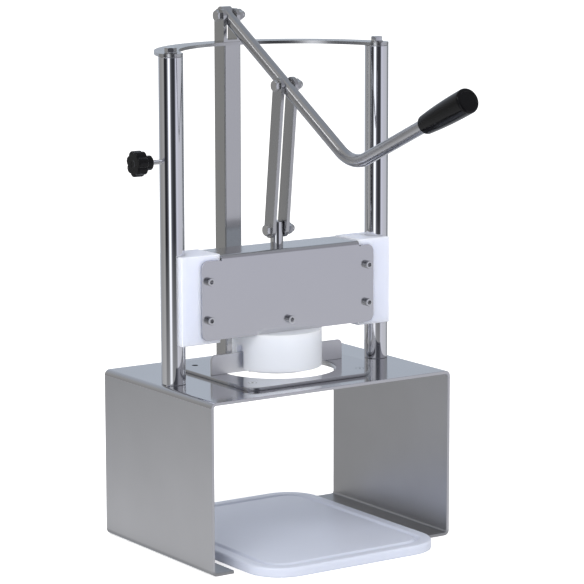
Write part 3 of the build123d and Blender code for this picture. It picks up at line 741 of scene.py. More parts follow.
class PEELER_OT_knives(bpy.types.Operator):
    """Ring knife, core knife and splitter blades"""

    bl_idname = "peeler.knives"
    bl_label = "Knives"

    def execute(self, context):
        size = sizes()
        steel_finish = finish_of("knife")
        ring_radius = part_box("ring_knife")[1].x
        ring = round_knife("ring_blade", "ring_knife", ring_radius, size.ring_wall, sides=128)
        hand_in(shade(ring), "frame", "knife_steel", steel_finish, "ring_knife")

        low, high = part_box("core_knife")
        core = round_knife("core_blade", "core_knife", high.y, size.core_wall, sides=72)
        half = size.spoke_thick / 2
        for side in (-1, 1):
            near, far = sorted((side * (high.y - half), side * high.x))
            spoke = block("spoke", (near, -half, low.z), (far, half, low.z + size.spoke_height))
            combine(core, spoke, "UNION")
        hand_in(shade(core), "frame", "knife_steel", steel_finish, "core_knife")

        for side, node in ((-1, "splitter_blade_left"), (1, "splitter_blade_right")):
            low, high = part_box(node)
            outer = low.x if side < 0 else high.x
            near, far = sorted((0, outer))
            blade = block(node.replace("blade", "plate"), (near, low.y, low.z), (far, high.y, high.z))

            def at_corner(at, way):
                return abs(way.y) > NEARLY and at.z > high.z - TINY and abs(at.x - outer) < TINY

            bevel_edges(blade, at_corner, size.splitter_corner, segments=8)
            drilled(blade, ring_radius + size.weld_gap, (0, 0, low.z), UP, high.z - low.z, sides=128)
            shade(blade, size.bar_edge, segments=3)
            hand_in(blade, "frame", "knife_steel", steel_finish, node)
        return {"FINISHED"}


class PEELER_OT_columns(bpy.types.Operator):
    """Two polished columns"""

    bl_idname = "peeler.columns"
    bl_label = "Columns"

    def execute(self, context):
        for node, name in (("left_column", "left_guide_bar"), ("right_column", "right_guide_bar")):
            low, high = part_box(node)
            centre = middle(node)
            foot = (centre.x, centre.y, low.z)
            piece = rod(name, high.y - centre.y, high.z - low.z, foot, UP, sides=128)
            shade(piece, sizes().column_edge, segments=3)
            hand_in(piece, "frame", "column_steel", finish_of("column"), node)
        return {"FINISHED"}


class PEELER_OT_mast(bpy.types.Operator):
    """Square mast tube"""

    bl_idname = "peeler.mast"
    bl_label = "Mast"

    def execute(self, context):
        size = sizes()
        low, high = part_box("mast")
        piece = block("mast_tube", low, high)
        bevel_edges(piece, lambda at, way: abs(way.z) > NEARLY, size.mast_corner, segments=6)
        with editing(piece):
            pick(piece, "FACE", lambda at, way: abs(way.z) > NEARLY)
            bpy.ops.mesh.delete(type="FACE")
        modify(piece, "SOLIDIFY", thickness=size.mast_wall, offset=-1, use_even_offset=True)
        shade(piece)
        hand_in(piece, "frame", "mast_steel", finish_of("mast"), "mast")
        return {"FINISHED"}


class PEELER_OT_arch(bpy.types.Operator):
    """Curved plate that ties the columns to the mast"""

    bl_idname = "peeler.arch"
    bl_label = "Arch plate"

    def execute(self, context):
        low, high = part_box("arch_plate")
        half_width = -low.y
        spread = high.x - half_width
        rise = high.y - half_width
        radius = (spread**2 + rise**2) / (2 * rise)
        centre_y = rise - radius
        thick = high.z - low.z
        start = math.atan2(-centre_y, -spread)
        outward = Vector((math.cos(start), math.sin(start), 0))
        bpy.ops.mesh.primitive_plane_add(size=1)
        piece = added("arch_strap")
        piece.data.transform(Matrix.Diagonal((2 * half_width, thick, 1, 1)))
        placed(piece, (-spread, 0, low.z + thick / 2), outward, outward.cross(UP))
        with editing(piece):
            bpy.ops.mesh.select_all(action="SELECT")
            bpy.ops.mesh.delete(type="ONLY_FACE")
            bpy.ops.mesh.select_all(action="SELECT")
            sweep = 2 * (start - math.pi / 2)
            bpy.ops.mesh.spin(steps=72, angle=sweep, center=(0, centre_y, 0), axis=(0, 0, 1))
            bpy.ops.mesh.select_all(action="SELECT")
            bpy.ops.mesh.fill_holes(sides=4)
            bpy.ops.mesh.normals_make_consistent(inside=False)
        for side in (-1, 1):
            combine(piece, rod("end", half_width, thick, (side * spread, 0, low.z), UP), "UNION")
        shade(piece, sizes().bar_edge)
        hand_in(piece, "frame", "mast_steel", finish_of("arch"), "arch_plate")
        return {"FINISHED"}


class PEELER_OT_fork(bpy.types.Operator):
    """Fork that carries the lever on the mast"""

    bl_idname = "peeler.fork"
    bl_label = "Lever fork"

    def execute(self, context):
        size = sizes()
        low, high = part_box("lever_fork")
        piece = block("fork_ears", low, high)

        def on_ear(at, way):
            return abs(way.x) > NEARLY and at.z > high.z - TINY

        bevel_edges(piece, on_ear, size.ear_rise, segments=16)
        slot_low = (-size.fork_slot / 2, low.y - OVERRUN, low.z + size.fork_floor)
        slot_high = (size.fork_slot / 2, high.y + OVERRUN, high.z + OVERRUN)
        cut(piece, block("slot", slot_low, slot_high))
        eye = joint_place("lever_pivot") + ACROSS * low.x
        drilled(piece, size.pin_radius + size.running_gap, eye, ACROSS, high.x - low.x)
        seat = (0, middle("fork_screw").y, low.z)
        drilled(piece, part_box("fork_screw")[1].x, seat, UP, size.fork_floor)
        shade(piece, size.fine_edge)
        hand_in(piece, "frame", "mast_steel", finish_of("mast"), "lever_fork")
        return {"FINISHED"}


def joint_place(name):
    """Where a joint of the frame lies."""
    return next(Vector(joint["pos_m"]) for joint in frame["joints"] if joint["name"] == name)


def lever_points():
    """Pivot and link pin of the lever, the corner of its bend and the ways that its two runs go."""
    size = sizes()
    pivot, pin = joint_place("lever_pivot"), joint_place("link_pin")
    upper = (pin - pivot).normalized()
    lower = Vector((0, -math.cos(size.rod_rise), math.sin(size.rod_rise)))
    return pivot, pin, pivot + upper * size.rod_upper, upper, lower


class PEELER_OT_lever(bpy.types.Operator):
    """Bent lever bar with flats at its pins"""

    bl_idname = "peeler.lever"
    bl_label = "Lever"

    def execute(self, context):
        size = sizes()
        pivot, pin, corner_point, upper, lower = lever_points()
        tail = pivot - upper * size.rod_tail
        end = corner_point + lower * size.rod_lower
        turn = upper.angle(lower)
        back_off = size.rod_bend * math.tan(turn / 2)
        handle = 4 / 3 * math.tan(turn / 4) * size.rod_bend
        bend_in = corner_point - upper * back_off
        bend_out = corner_point + lower * back_off
        bpy.ops.curve.primitive_bezier_curve_add()
        line = bpy.context.object
        line.matrix_world = Matrix.Identity(4)
        spline = line.data.splines[0]
        spline.bezier_points.add(2)
        route = [
            (tail, tail, tail),
            (bend_in, bend_in - upper * handle, bend_in + upper * handle),
            (bend_out, bend_out - lower * handle, bend_out + lower * handle),
            (end, end, end),
        ]
        for point, (at, left, right) in zip(spline.bezier_points, route):
            point.handle_left_type = "FREE"
            point.handle_right_type = "FREE"
            point.co, point.handle_left, point.handle_right = at, left, right
        line.data.dimensions = "3D"
        line.data.resolution_u = 24
        line.data.bevel_depth = size.rod_radius
        line.data.bevel_resolution = 15
        line.data.use_fill_caps = True
        bpy.ops.object.convert(target="MESH")
        piece = added("lever_bar")
        with editing(piece):
            bpy.ops.mesh.select_all(action="SELECT")
            bpy.ops.mesh.remove_doubles(threshold=TINY)
            bpy.ops.mesh.normals_make_consistent(inside=False)
        half = size.flat_width / 2
        combine(piece, rod("eye", size.rod_radius, size.flat_width, tail - ACROSS * half, ACROSS), "UNION")
        past = size.rod_radius + OVERRUN
        bore = size.pin_radius + size.running_gap
        for spot, reach in ((pivot, size.pivot_flat), (pin, size.link_flat)):
            for side in (-1, 1):
                flat = block("flat", (-reach, -past, 0), (reach, past, past))
                cut(piece, placed(flat, spot + ACROSS * side * half, upper, ACROSS * side))
            drilled(piece, bore, spot - ACROSS * size.rod_radius, ACROSS, 2 * size.rod_radius)
        shade(piece, size.thin_edge)
        hand_in(piece, "lever", "lever_steel", finish_of("lever"), "lever_rod")
        return {"FINISHED"}


class PEELER_OT_grip(bpy.types.Operator):
    """Glossy black grip"""

    bl_idname = "peeler.grip"
    bl_label = "Grip"

    def execute(self, context):
        size = sizes()
        points = lever_points()
        corner_point, lower = points[2], points[4]
        low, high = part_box("lever_grip")
        radius = (high.x - low.x) / 2
        edge, start, tall, dish = size.grip_edge, size.grip_start, size.grip_length, size.grip_dish
        rim = radius - edge
        outline = [(size.rod_radius + TINY, 0.0), *corner(start - edge, edge, edge, -90, 0, 6)]
        rings = 24
        for ring in range(1, rings + 1):
            share = ring / rings
            swell = radius - (radius - start) * (1 - share) ** 2
            outline.append((swell, edge + (size.grip_flare - edge) * share))
        outline += corner(rim, tall - edge, edge, 0, 90, 8)
        outline += [(rim - dish, tall), (rim - 2 * dish, tall - dish), (size.rod_radius / 8, tall - dish)]
        piece = turned("grip_handle", outline, sides=96)
        placed(piece, corner_point + lower * size.grip_place, ACROSS, lower)
        shade(piece, limit=math.radians(40))
        hand_in(piece, "lever", "grip_plastic", finish_of("grip"), "lever_grip")
        return {"FINISHED"}


class PEELER_OT_links(bpy.types.Operator):
    """Two flat links"""

    bl_idname = "peeler.links"
    bl_label = "Links"

    def execute(self, context):
        size = sizes()
        pin = lever_points()[1]
        foot = middle("link_foot_bolt")
        foot.x = 0
        run = foot - pin
        sides = 96
        for side, node, name in ((-1, "link_left", "left_link_bar"), (1, "link_right", "right_link_bar")):
            low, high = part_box(node)
            thick = high.x - low.x
            radius = (high.z - low.z - abs(run.z)) / 2
            piece = rod(name, radius, thick, (0, 0, 0), UP, sides)
            with editing(piece):
                bpy.ops.mesh.select_all(action="SELECT")
                bpy.ops.transform.rotate(value=math.pi / sides, orient_axis="Z", center_override=(0, 0, 0))
                pick(piece, "VERT", lambda at, way: at.x > 0)
                bpy.ops.transform.translate(value=(run.length, 0, 0))
            for at in (0, run.length):
                drilled(piece, size.pin_radius + size.running_gap, (at, 0, 0), UP, thick)
            shade(piece, size.bar_edge, segments=3)
            inner = low.x if side > 0 else high.x
            placed(piece, (inner, pin.y, pin.z), run, ACROSS * side)
            hand_in(piece, "links", "link_steel", finish_of("link"), node)
        return {"FINISHED"}


class PEELER_OT_head(bpy.types.Operator):
    """Bent sheet channel of the pressing head"""

    bl_idname = "peeler.head"
    bl_label = "Head"

    def execute(self, context):
        size = sizes()
        low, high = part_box("head_channel")
        web_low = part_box("guide_block_left")[1].x + size.block_gap
        web_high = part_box("guide_block_right")[0].x - size.block_gap
        ends = ((-1, web_low), (1, web_high))
        piece = block("head_sheet", (web_low, low.y, low.z), (web_high, high.y, high.z))
        with editing(piece):
            pick(piece, "FACE", lambda at, way: abs(way.x) > NEARLY or way.z < -NEARLY)
            bpy.ops.mesh.delete(type="FACE")
            for side, end in ends:
                pick(piece, "EDGE", lambda at, way: abs(way.z) > NEARLY and abs(at.x - end) < TINY)
                outward = {"value": (side * high.x - end, 0, 0)}
                bpy.ops.mesh.extrude_region_move(TRANSFORM_OT_translate=outward)

            def on_fold(at, way):
                return abs(way.x) > NEARLY and at.z > high.z - TINY and web_low < at.x < web_high

            pick(piece, "EDGE", on_fold)
            bpy.ops.mesh.bevel(offset=size.head_bend, segments=8, affect="EDGES")
            bpy.ops.mesh.select_all(action="SELECT")
            bpy.ops.mesh.normals_make_consistent(inside=False)
        modify(piece, "SOLIDIFY", thickness=size.bend_sheet, offset=-1, use_even_offset=True)
        ear_top = high.z - size.head_ear_top
        for side, end in ends:
            for reach, floor in ((high.x, ear_top), (size.relief_width, ear_top - size.relief_depth)):
                near, far = sorted((end, end + side * reach))
                trim_high = (far, high.y + OVERRUN, high.z + OVERRUN)
                cut(piece, block("trim", (near, low.y - OVERRUN, floor), trim_high))

        def at_corner(at, way):
            return abs(way.y) > NEARLY and abs(at.x) > high.x - TINY

        bevel_edges(piece, at_corner, size.head_corner, segments=10)
        shade(piece, size.thin_edge)
        hand_in(piece, "head", "head_steel", finish_of("head"), "head_channel")
        return {"FINISHED"}


class PEELER_OT_guide_blocks(bpy.types.Operator):
    """White guide blocks that run on the columns"""

    bl_idname = "peeler.guide_blocks"
    bl_label = "Guide blocks"

    def execute(self, context):
        size = sizes()
        for node, column, name in (
            ("guide_block_left", "left_column", "left_slider"),
            ("guide_block_right", "right_column", "right_slider"),
        ):
            low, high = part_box(node)
            centre = middle(column)
            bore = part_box(column)[1].y - centre.y + size.slide_gap
            piece = block(name, low, high)
            bevel_edges(piece, lambda at, way: True, size.block_edge, segments=3)
            drilled(piece, bore, (centre.x, centre.y, low.z), UP, high.z - low.z, sides=128)
            shade(piece)
            hand_in(piece, "head", "white_plastic", finish_of("white"), node)
        return {"FINISHED"}


class PEELER_OT_pusher(bpy.types.Operator):
    """White pusher with grooves for the knives"""

    bl_idname = "peeler.pusher"
    bl_label = "Pusher"

    def execute(self, context):
        size = sizes()
        low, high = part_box("pusher")
        channel_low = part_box("head_channel")[0]
        ring_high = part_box("ring_knife")[1]
        radius, top, ring = high.x, channel_low.z, ring_high.x
        groove_top = ring_high.z + size.knife_room
        outline = []
        for outer, wall in ((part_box("core_knife")[1].y, size.core_wall), (ring, size.ring_wall)):
            near, far = outer - wall - size.knife_gap, outer + size.knife_gap
            outline += [(near, low.z), (near, groove_top), (far, groove_top), (far, low.z)]
        edge = size.pusher_edge
        outline += corner(radius - edge, low.z + edge, edge, -90, 0)
        edge = size.pusher_edge / 4
        outline += corner(radius - edge, top - edge, edge, 0, 90)
        piece = turned("pusher_body", outline, sides=160)
        for side in (-1, 1):
            for start, half in ((ring + TINY, size.slit_half), (ring + size.slot_wall, size.slot_half)):
                near, far = sorted((side * start, side * (radius + OVERRUN)))
                slot_high = (far, half, low.z + size.slot_rise)
                cut(piece, block("slot", (near, -half, low.z - OVERRUN), slot_high))
        half_depth = -channel_low.y - size.bend_sheet
        tenon_low = (-size.tenon_half, -half_depth, top - size.tenon_root)
        combine(piece, block("tenon", tenon_low, (size.tenon_half, half_depth, high.z)), "UNION")
        shade(piece, size.thin_edge)
        hand_in(piece, "head", "white_plastic", finish_of("pusher"), "pusher")
        return {"FINISHED"}


class PEELER_OT_stud(bpy.types.Operator):
    """Stud that the links push on"""

    bl_idname = "peeler.stud"
    bl_label = "Stud"

    def execute(self, context):
        size = sizes()
        low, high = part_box("head_stud")
        web_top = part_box("head_channel")[1].z
        radius, edge, neck = high.x, size.stud_edge, size.stud_neck
        outline = [(neck, low.z), (neck, web_top), (radius, web_top)]
        outline += [(radius, high.z - edge), (radius - edge, high.z)]
        piece = turned("stud_bar", outline, sides=80)
        past = radius + OVERRUN
        for side in (-1, 1):
            near, far = sorted((side * size.flat_width / 2, side * past))
            flat_low = (near, -past, high.z - size.stud_flat)
            cut(piece, block("flat", flat_low, (far, past, high.z + OVERRUN)))
        eye = (-radius, 0, middle("link_foot_bolt").z)
        drilled(piece, size.pin_radius + size.bolt_gap, eye, ACROSS, 2 * radius)
        shade(piece, size.thin_edge)
        hand_in(piece, "head", "stud_steel", finish_of("bright"), "head_stud")
        return {"FINISHED"}


# Shares of a fastener's size: a hexagon's round end and a dome's foot, by the width across
# flats and the dome's radius. A hexagon's far corners slope down from that end.
END_SHARE = 0.47
DOME_FOOT_SHARE = 1.04
CORNER_SLOPE = math.radians(30)

# Shares of a cap screw: its flat end and its pilot hole, by the socket, and the socket's floor,
# by the head's height.
PAD_SHARE = 0.66
PILOT_SHARE = 0.4
FLOOR_SHARE = 0.2

# How far each fastener of a set stands turned against the one before it, in radians.
BOLT_TURN = 0.3
CAP_SCREW_TURN = 0.4
FLUSH_SCREW_TURN = 0.5


def six_sided(name, across, low, high):
    """Six-sided bar about Z between two heights."""
    reach, centre = across / math.sqrt(3), (0, 0, (low + high) / 2)
    bpy.ops.mesh.primitive_cylinder_add(vertices=6, radius=reach, depth=high - low, location=centre)
    return added(name)


def hexagon(name, across, height):
    """Hexagon standing on the origin, with its far corners turned down."""
    piece = six_sided(name, across, 0, height)
    reach, face = across / math.sqrt(3), END_SHARE * across
    slope = (reach - face) * math.tan(CORNER_SLOPE)
    wide = reach + TINY
    limit = turned("limit", [(wide, -OVERRUN), (wide, height - slope), (face, height)], sides=72)
    return combine(piece, limit, "INTERSECT")


def hexagon_bolt(name, across, head, radius, shank):
    """Hexagon bolt: its head stands on the origin and its shank runs down."""
    piece = hexagon("head", across, head)
    combine(piece, rod("shank", radius, shank + TINY, (0, 0, TINY), -UP, sides=40), "UNION")
    shade(piece, sizes().bolt_edge)
    piece.name = name
    return piece


def domed_nut(name, across, height, radius, stub):
    """Domed nut standing on the origin, with a stub of its bolt below it where it has one."""
    piece = hexagon("nut", across, height)
    foot = DOME_FOOT_SHARE * radius
    dome = [(foot, height / 2), (foot, height), *corner(0.0, height, radius, 8, 86, 12)]
    combine(piece, turned("dome", dome), "UNION")
    if stub > 0:
        combine(piece, rod("stub", sizes().pin_radius, stub + TINY, (0, 0, TINY), -UP, sides=40), "UNION")
    shade(piece, sizes().fine_edge, limit=math.radians(28))
    piece.name = name
    return piece


def washer(name, radius, bore, thick):
    """Flat washer with soft rims, standing on the origin."""
    edge = thick / 4
    outline = [(bore, edge), (bore + edge, 0), (radius - edge, 0), (radius, edge)]
    outline += [(radius, thick - edge), (radius - edge, thick), (bore + edge, thick), (bore, thick - edge)]
    return shade(turned(name, outline, sides=56, closed=True), limit=math.radians(50))


def paired(piece, name, left, right):
    """A piece and its copy as one mesh, each moved by its own matrix."""
    other = copied(piece, "other", right)
    piece.data.transform(left)
    return joined([piece, other], name)


class PEELER_OT_bolts(bpy.types.Operator):
    """Hexagon bolts, domed nuts and washers"""

    bl_idname = "peeler.bolts"
    bl_label = "Bolts and nuts"

    def execute(self, context):
        size = sizes()
        bright = finish_of("bright")
        across, pin = size.bolt_across, size.pin_radius

        def seated(piece, body, node, at, facing):
            placed(piece, at, upright(facing), facing)
            hand_in(piece, body, "fastener_steel", bright, node)

        for body, node, name in (
            ("frame", "lever_pivot_bolt", "pivot_hex_bolt"),
            ("lever", "link_pin_bolt", "link_hex_bolt"),
            ("links", "link_foot_bolt", "foot_hex_bolt"),
        ):
            low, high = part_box(node)
            head, centre = size.bolt_head, middle(node)
            piece = hexagon_bolt(name, across, head, pin, high.x - low.x - head)
            seated(piece, body, node, (low.x + head, centre.y, centre.z), -ACROSS)
        for body, node, name in (
            ("frame", "lever_pivot_nut", "pivot_dome_nut"),
            ("lever", "link_pin_nut", "link_dome_nut"),
            ("links", "link_foot_nut", "foot_dome_nut"),
        ):
            low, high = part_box(node)
            tall, centre = size.nut_height + size.dome_radius, middle(node)
            piece = domed_nut(name, across, size.nut_height, size.dome_radius, high.x - low.x - tall)
            seated(piece, body, node, (high.x - tall, centre.y, centre.z), ACROSS)
        for body, node, name in (
            ("frame", "lever_pivot_washer", "pivot_flat_washer"),
            ("links", "link_foot_washer", "foot_flat_washer"),
        ):
            low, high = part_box(node)
            centre = middle(node)
            piece = washer(name, high.z - centre.z, pin + size.bolt_gap, high.x - low.x)
            seated(piece, body, node, (low.x, centre.y, centre.z), ACROSS)
        for node, name, shank in (
            ("arch_washers", "arch_flat_washers", pin),
            ("column_foot_washers", "foot_flat_washers", size.foot_bolt_radius),
        ):
            low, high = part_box(node)
            piece = washer("washer", high.y, shank + size.bolt_gap, high.z - low.z)
            spots = [Matrix.Translation((side * (high.x - high.y), 0, low.z)) for side in (-1, 1)]
            hand_in(paired(piece, name, *spots), "frame", "fastener_steel", bright, node)
        low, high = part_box("arch_bolts")
        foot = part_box("arch_washers")[1].z
        x = high.x - across / math.sqrt(3)
        piece = hexagon_bolt("bolt", across, high.z - foot, pin, foot - low.z)
        left, right = (Matrix.Translation((side * x, 0, foot)) for side in (-1, 1))
        piece = paired(piece, "arch_hex_bolts", left, right @ Matrix.Rotation(BOLT_TURN, 4, "Z"))
        hand_in(piece, "frame", "fastener_steel", bright, "arch_bolts")
        low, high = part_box("column_foot_bolts")
        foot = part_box("column_foot_washers")[0].z
        x = middle("right_column").x
        piece = hexagon_bolt("bolt", size.foot_across, foot - low.z, size.foot_bolt_radius, high.z - foot)
        flip = Matrix.Rotation(math.pi, 4, "X")
        spots = [Matrix.Translation((side * x, 0, foot)) @ flip for side in (-1, 1)]
        piece = paired(piece, "foot_hex_bolts", *spots)
        hand_in(piece, "frame", "fastener_steel", bright, "column_foot_bolts")
        low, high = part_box("mast_foot_bolt")
        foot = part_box("mast_foot_washer")[0].z
        piece = hexagon_bolt("mast_hex_bolt", across, foot - low.z, pin, high.z - foot)
        seated(piece, "frame", "mast_foot_bolt", (0, middle("mast_foot_bolt").y, foot), -UP)
        return {"FINISHED"}


def cap_screw():
    """Socket cap screw of the head: its head stands on the origin and its shank runs down."""
    size = sizes()
    radius, height, rim, socket = size.screw_head, size.screw_height, size.screw_rim, size.screw_socket
    outline = [(size.screw_radius, -size.screw_length), (size.screw_radius, 0), (radius, 0)]
    outline += [*corner(radius - rim, height - rim, rim, 0, 90, 4), (PAD_SHARE * socket, height)]
    piece = turned("screw", outline, sides=56)
    cut(piece, six_sided("socket", socket, FLOOR_SHARE * height, (2 - FLOOR_SHARE) * height))
    start = (0, 0, height / 2)
    cut(piece, rod("pilot", PILOT_SHARE * socket, size.screw_length / 2, start, -UP, sides=24))
    return shade(piece, size.screw_edge, segments=1)


def flush_screw(name, radius, wide, socket, shank):
    """Countersunk socket screw: the top of its head lies on the origin and its shank runs down."""
    sink = wide - radius
    outline = [(radius, -shank), (radius, -sink), (wide, -sizes().fine_edge), (wide, 0)]
    piece = turned(name, outline, sides=48)
    return shade(cut(piece, six_sided("socket", socket, -sink, sink)))


class PEELER_OT_socket_screws(bpy.types.Operator):
    """Socket screws of the head, fork and cutter plate"""

    bl_idname = "peeler.socket_screws"
    bl_label = "Socket screws"

    def execute(self, context):
        size = sizes()
        bright = finish_of("bright")
        channel_low, channel_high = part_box("head_channel")
        for side, node, name in (
            (-1, "head_screws_front", "front_cap_screws"),
            (1, "head_screws_rear", "rear_cap_screws"),
        ):
            low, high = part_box(node)
            radius = size.screw_head
            x, lower, upper = high.x - radius, channel_low.z + size.screw_row, high.z - radius
            spots = [(-x, lower), (x, lower), (-x, upper), (x, upper), (0, low.z + radius)]
            model = cap_screw()
            heads = []
            for turn, (x, z) in enumerate(spots):
                head = copied(model, "head", Matrix.Rotation(CAP_SCREW_TURN * turn, 4, "Z"))
                heads.append(placed(head, (x, channel_high.y * side, z), ACROSS, BACK * side))
            bpy.data.objects.remove(model)
            hand_in(joined(heads, name), "head", "fastener_steel", bright, node)
        low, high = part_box("fork_screw")
        wide, socket = size.fork_screw_head, size.fork_screw_socket
        piece = flush_screw("fork_flush_screw", size.screw_radius, wide, socket, high.z - low.z)
        piece.data.transform(Matrix.Translation((0, middle("fork_screw").y, high.z)))
        hand_in(piece, "frame", "fastener_steel", bright, "fork_screw")
        low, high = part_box("cutter_plate_screws")
        wide, socket = size.plate_screw_head, size.plate_screw_socket
        heads = []
        for turn, (x, y) in enumerate(screw_spots()):
            screw = flush_screw("screw", size.plate_screw_radius, wide, socket, high.z - low.z)
            spin = Matrix.Rotation(FLUSH_SCREW_TURN * turn, 4, "Z")
            screw.data.transform(Matrix.Translation((x, y, high.z)) @ spin)
            heads.append(screw)
        hand_in(joined(heads, "plate_screws"), "frame", "fastener_steel", bright, "cutter_plate_screws")
        return {"FINISHED"}


def puck(name, radius, foot, top, edge):
    """Disc with rounded rims, between two heights."""
    outline = corner(radius - edge, foot + edge, edge, -90, 0, 4)
    return turned(name, outline + corner(radius - edge, top - edge, edge, 0, 90, 5), sides=48)


# Lock screw's thread: its root by the screw's radius, and where a crest starts and ends and the
# root begins again, by the pitch.
ROOT_SHARE = 0.86
CREST_SHARES = (0.45, 0.55, 0.95)


class PEELER_OT_lock(bpy.types.Operator):
    """Knob screw on the left column"""

    bl_idname = "peeler.lock"
    bl_label = "Lock"

    def execute(self, context):
        size = sizes()
        low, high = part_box("lock_screw")
        centre = middle("lock_screw")
        radius, span, pitch = high.z - centre.z, high.x - low.x, size.thread_pitch
        root = ROOT_SHARE * radius
        outline = [(root, 0)]
        for turn in range(int(span / pitch) - 1):
            for share, reach in zip(CREST_SHARES, (radius, radius, root)):
                outline.append((reach, (turn + share) * pitch))
        outline += [(root, span)]
        screw = turned("lock_thread", outline, sides=40)
        placed(screw, (high.x, centre.y, centre.z), BACK, -ACROSS)
        shade(screw)
        hand_in(screw, "lock", "stud_steel", finish_of("bright"), "lock_screw")

        low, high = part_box("lock_knob")
        tall = high.x - low.x
        knob = puck("lock_star_knob", size.hub_radius, 0.0, tall - size.hub_drop, size.hub_edge)
        for lobe in range(size.knob_lobes):
            turn = Matrix.Rotation(size.knob_turn + 2 * math.pi * lobe / size.knob_lobes, 4, "Z")
            part = puck("lobe", size.lobe_radius, size.hub_length, tall, size.lobe_edge)
            part.data.transform(turn @ Matrix.Translation((size.lobe_ring, 0, 0)))
            combine(knob, part, "UNION")
        placed(knob, (high.x, centre.y, centre.z), -BACK, -ACROSS)
        shade(knob, limit=math.radians(42))
        knob.visible_glossy = False
        hand_in(knob, "lock", "knob_plastic", finish_of("knob"), "lock_knob")
        return {"FINISHED"}


class PEELER_OT_board(bpy.types.Operator):
    """Catch board with its juice groove"""

    bl_idname = "peeler.board"
    bl_label = "Catch board"

    def execute(self, context):
        size = sizes()
        low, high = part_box("catch_board")
        piece = block("board_slab", low, high)
        bevel_edges(piece, lambda at, way: abs(way.z) > NEARLY, size.board_corner, segments=16)
        third = size.groove_width / 3
        on_line = 20 * TINY
        inset = size.groove_inset + third

        def on_floor(at, way):
            gap = outside(at, low, high, inset, size.board_corner)
            return at.z > high.z - TINY and -third - on_line < gap < on_line

        def on_rim(at, way):
            return abs(at.z - high.z) < TINY and outside(at, low, high, 0, size.board_corner) > -on_line

        with editing(piece):
            pick(piece, "FACE", lambda at, way: way.z > NEARLY)
            for thickness in (size.groove_inset, third, third, third):
                bpy.ops.mesh.inset(thickness=thickness)
            pick(piece, "VERT", on_floor)
            bpy.ops.transform.translate(value=(0, 0, -size.groove_depth))
        bevel_edges(piece, on_rim, size.board_edge, segments=5)
        shade(piece, size.groove_edge, segments=4, limit=math.radians(24))
        hand_in(piece, "board", "board_plastic", finish_of("board"), "catch_board")
        return {"FINISHED"}


def outside(at, low, high, inset, bend):
    """How far a point lies outside a box's rounded outline, drawn in by an inset."""
    centre = (low + high) / 2
    over_x = abs(at.x - centre.x) - (high.x - centre.x - bend)
    over_y = abs(at.y - centre.y) - (high.y - centre.y - bend)
    over = math.hypot(over_x, over_y) if over_x > 0 and over_y > 0 else max(over_x, over_y)
    return over - (bend - inset)


class PEELER_OT_hidden_finish(bpy.types.Operator):
    """Finish of the pieces that stay as they are in the frame"""

    bl_idname = "peeler.hidden_finish"
    bl_label = "Hidden pieces"

    def execute(self, context):
        for node in frame["nodes"].values():
            if not node.hide_render:
                node.data.materials.clear()
                node.data.materials.append(finish_of("bright"))
        return {"FINISHED"}


# Studio

# How much of the lit floor shows at a distance from the object, and the distance at the end of
# that ramp, in metres.
GLOW_FADE = [(0.2, 0.95), (0.42, 0.84), (0.7, 0.63), (1.08, 0.44), (1.8, 0.20), (2.7, 0.0)]
GLOW_END = 3

# Soft studio round the object, as metal sees it: compass angle from straight ahead of the
# object's front, to its right, and the brightness there, below the horizon and above it.
STUDIO_BANDS = [
    (-180, 0.60), (-162, 0.38), (-140, 0.33), (-110, 0.42), (-103, 0.38), (-96, 0.08), (-92, 0.02),
    (-78, 0.04), (-71, 0.09), (-66, 0.16), (-62, 0.50), (-58, 1.20), (-54, 1.50), (-44, 1.50),
    (-41, 0.85), (-36, 0.22), (-29, 0.10), (-15, 0.05), (-2, 0.05), (3, 0.10), (7, 0.30),
    (11, 0.75), (16, 0.86), (24, 0.76), (34, 0.72), (75, 0.66), (88, 0.38), (95, 0.26),
    (105, 0.30), (125, 0.45), (146, 0.66), (180, 0.60),
]
STUDIO_UPPER = [
    (-180, 0.58), (-155, 0.45), (-135, 0.28), (-75, 0.27), (-62, 0.60), (-42, 0.60), (-28, 0.10),
    (0, 0.10), (20, 0.42), (90, 0.36), (105, 0.30), (125, 0.45), (146, 0.66), (180, 0.58),
]

# Tint of the studio by the same angle.
STUDIO_TINTS = [
    (-180, (0.84, 0.90, 1.0)), (-165, (0.88, 0.93, 1.0)), (-150, (1.0, 1.0, 0.99)),
    (-100, (1.0, 1.0, 0.99)), (-88, (0.80, 0.84, 1.0)), (-66, (0.90, 0.93, 1.0)),
    (-40, (0.92, 0.94, 1.0)), (-20, (0.80, 0.84, 1.0)), (5, (0.84, 0.86, 1.0)),
    (40, (0.89, 0.90, 1.0)), (90, (0.90, 0.94, 1.0)), (146, (0.80, 0.88, 1.0)),
    (180, (0.84, 0.90, 1.0)),
]

# Narrow softbox high on the left: between which heights and which compass angles it shows.
SOFTBOX_HEIGHTS = [(0.57, 0.0), (0.61, 1.0), (0.66, 1.0), (0.70, 0.0)]
SOFTBOX_ANGLES = [(-125, 0.0), (-112, 1.0), (-72, 1.0), (-60, 0.0)]

# Brightness overhead and of the softbox, and the heights over which the upper studio and the
# overhead light come in.
OVERHEAD_LIGHT = 0.42
SOFTBOX_LIGHT = 3.6
HORIZON = steps(0.0, 0.10)
OVERHEAD = steps(0.50, 0.72)

# Where the machine keeps the lit floor dark, in metres: across a stripe that leans with the
# light, across one under the machine, and both only behind a line near its front.
DARK_STRIPE = [(0.0, (0, 0, 0)), (0.08, (1, 1, 1)), (0.35, (1, 1, 1)), (0.5, (0, 0, 0))]
DARK_BACK = steps(0.0, 0.06)
DARK_SHARE = 0.95
STRIPE_LEAN = 0.675
UNDER_START = 0.22
BACK_START = 0.13

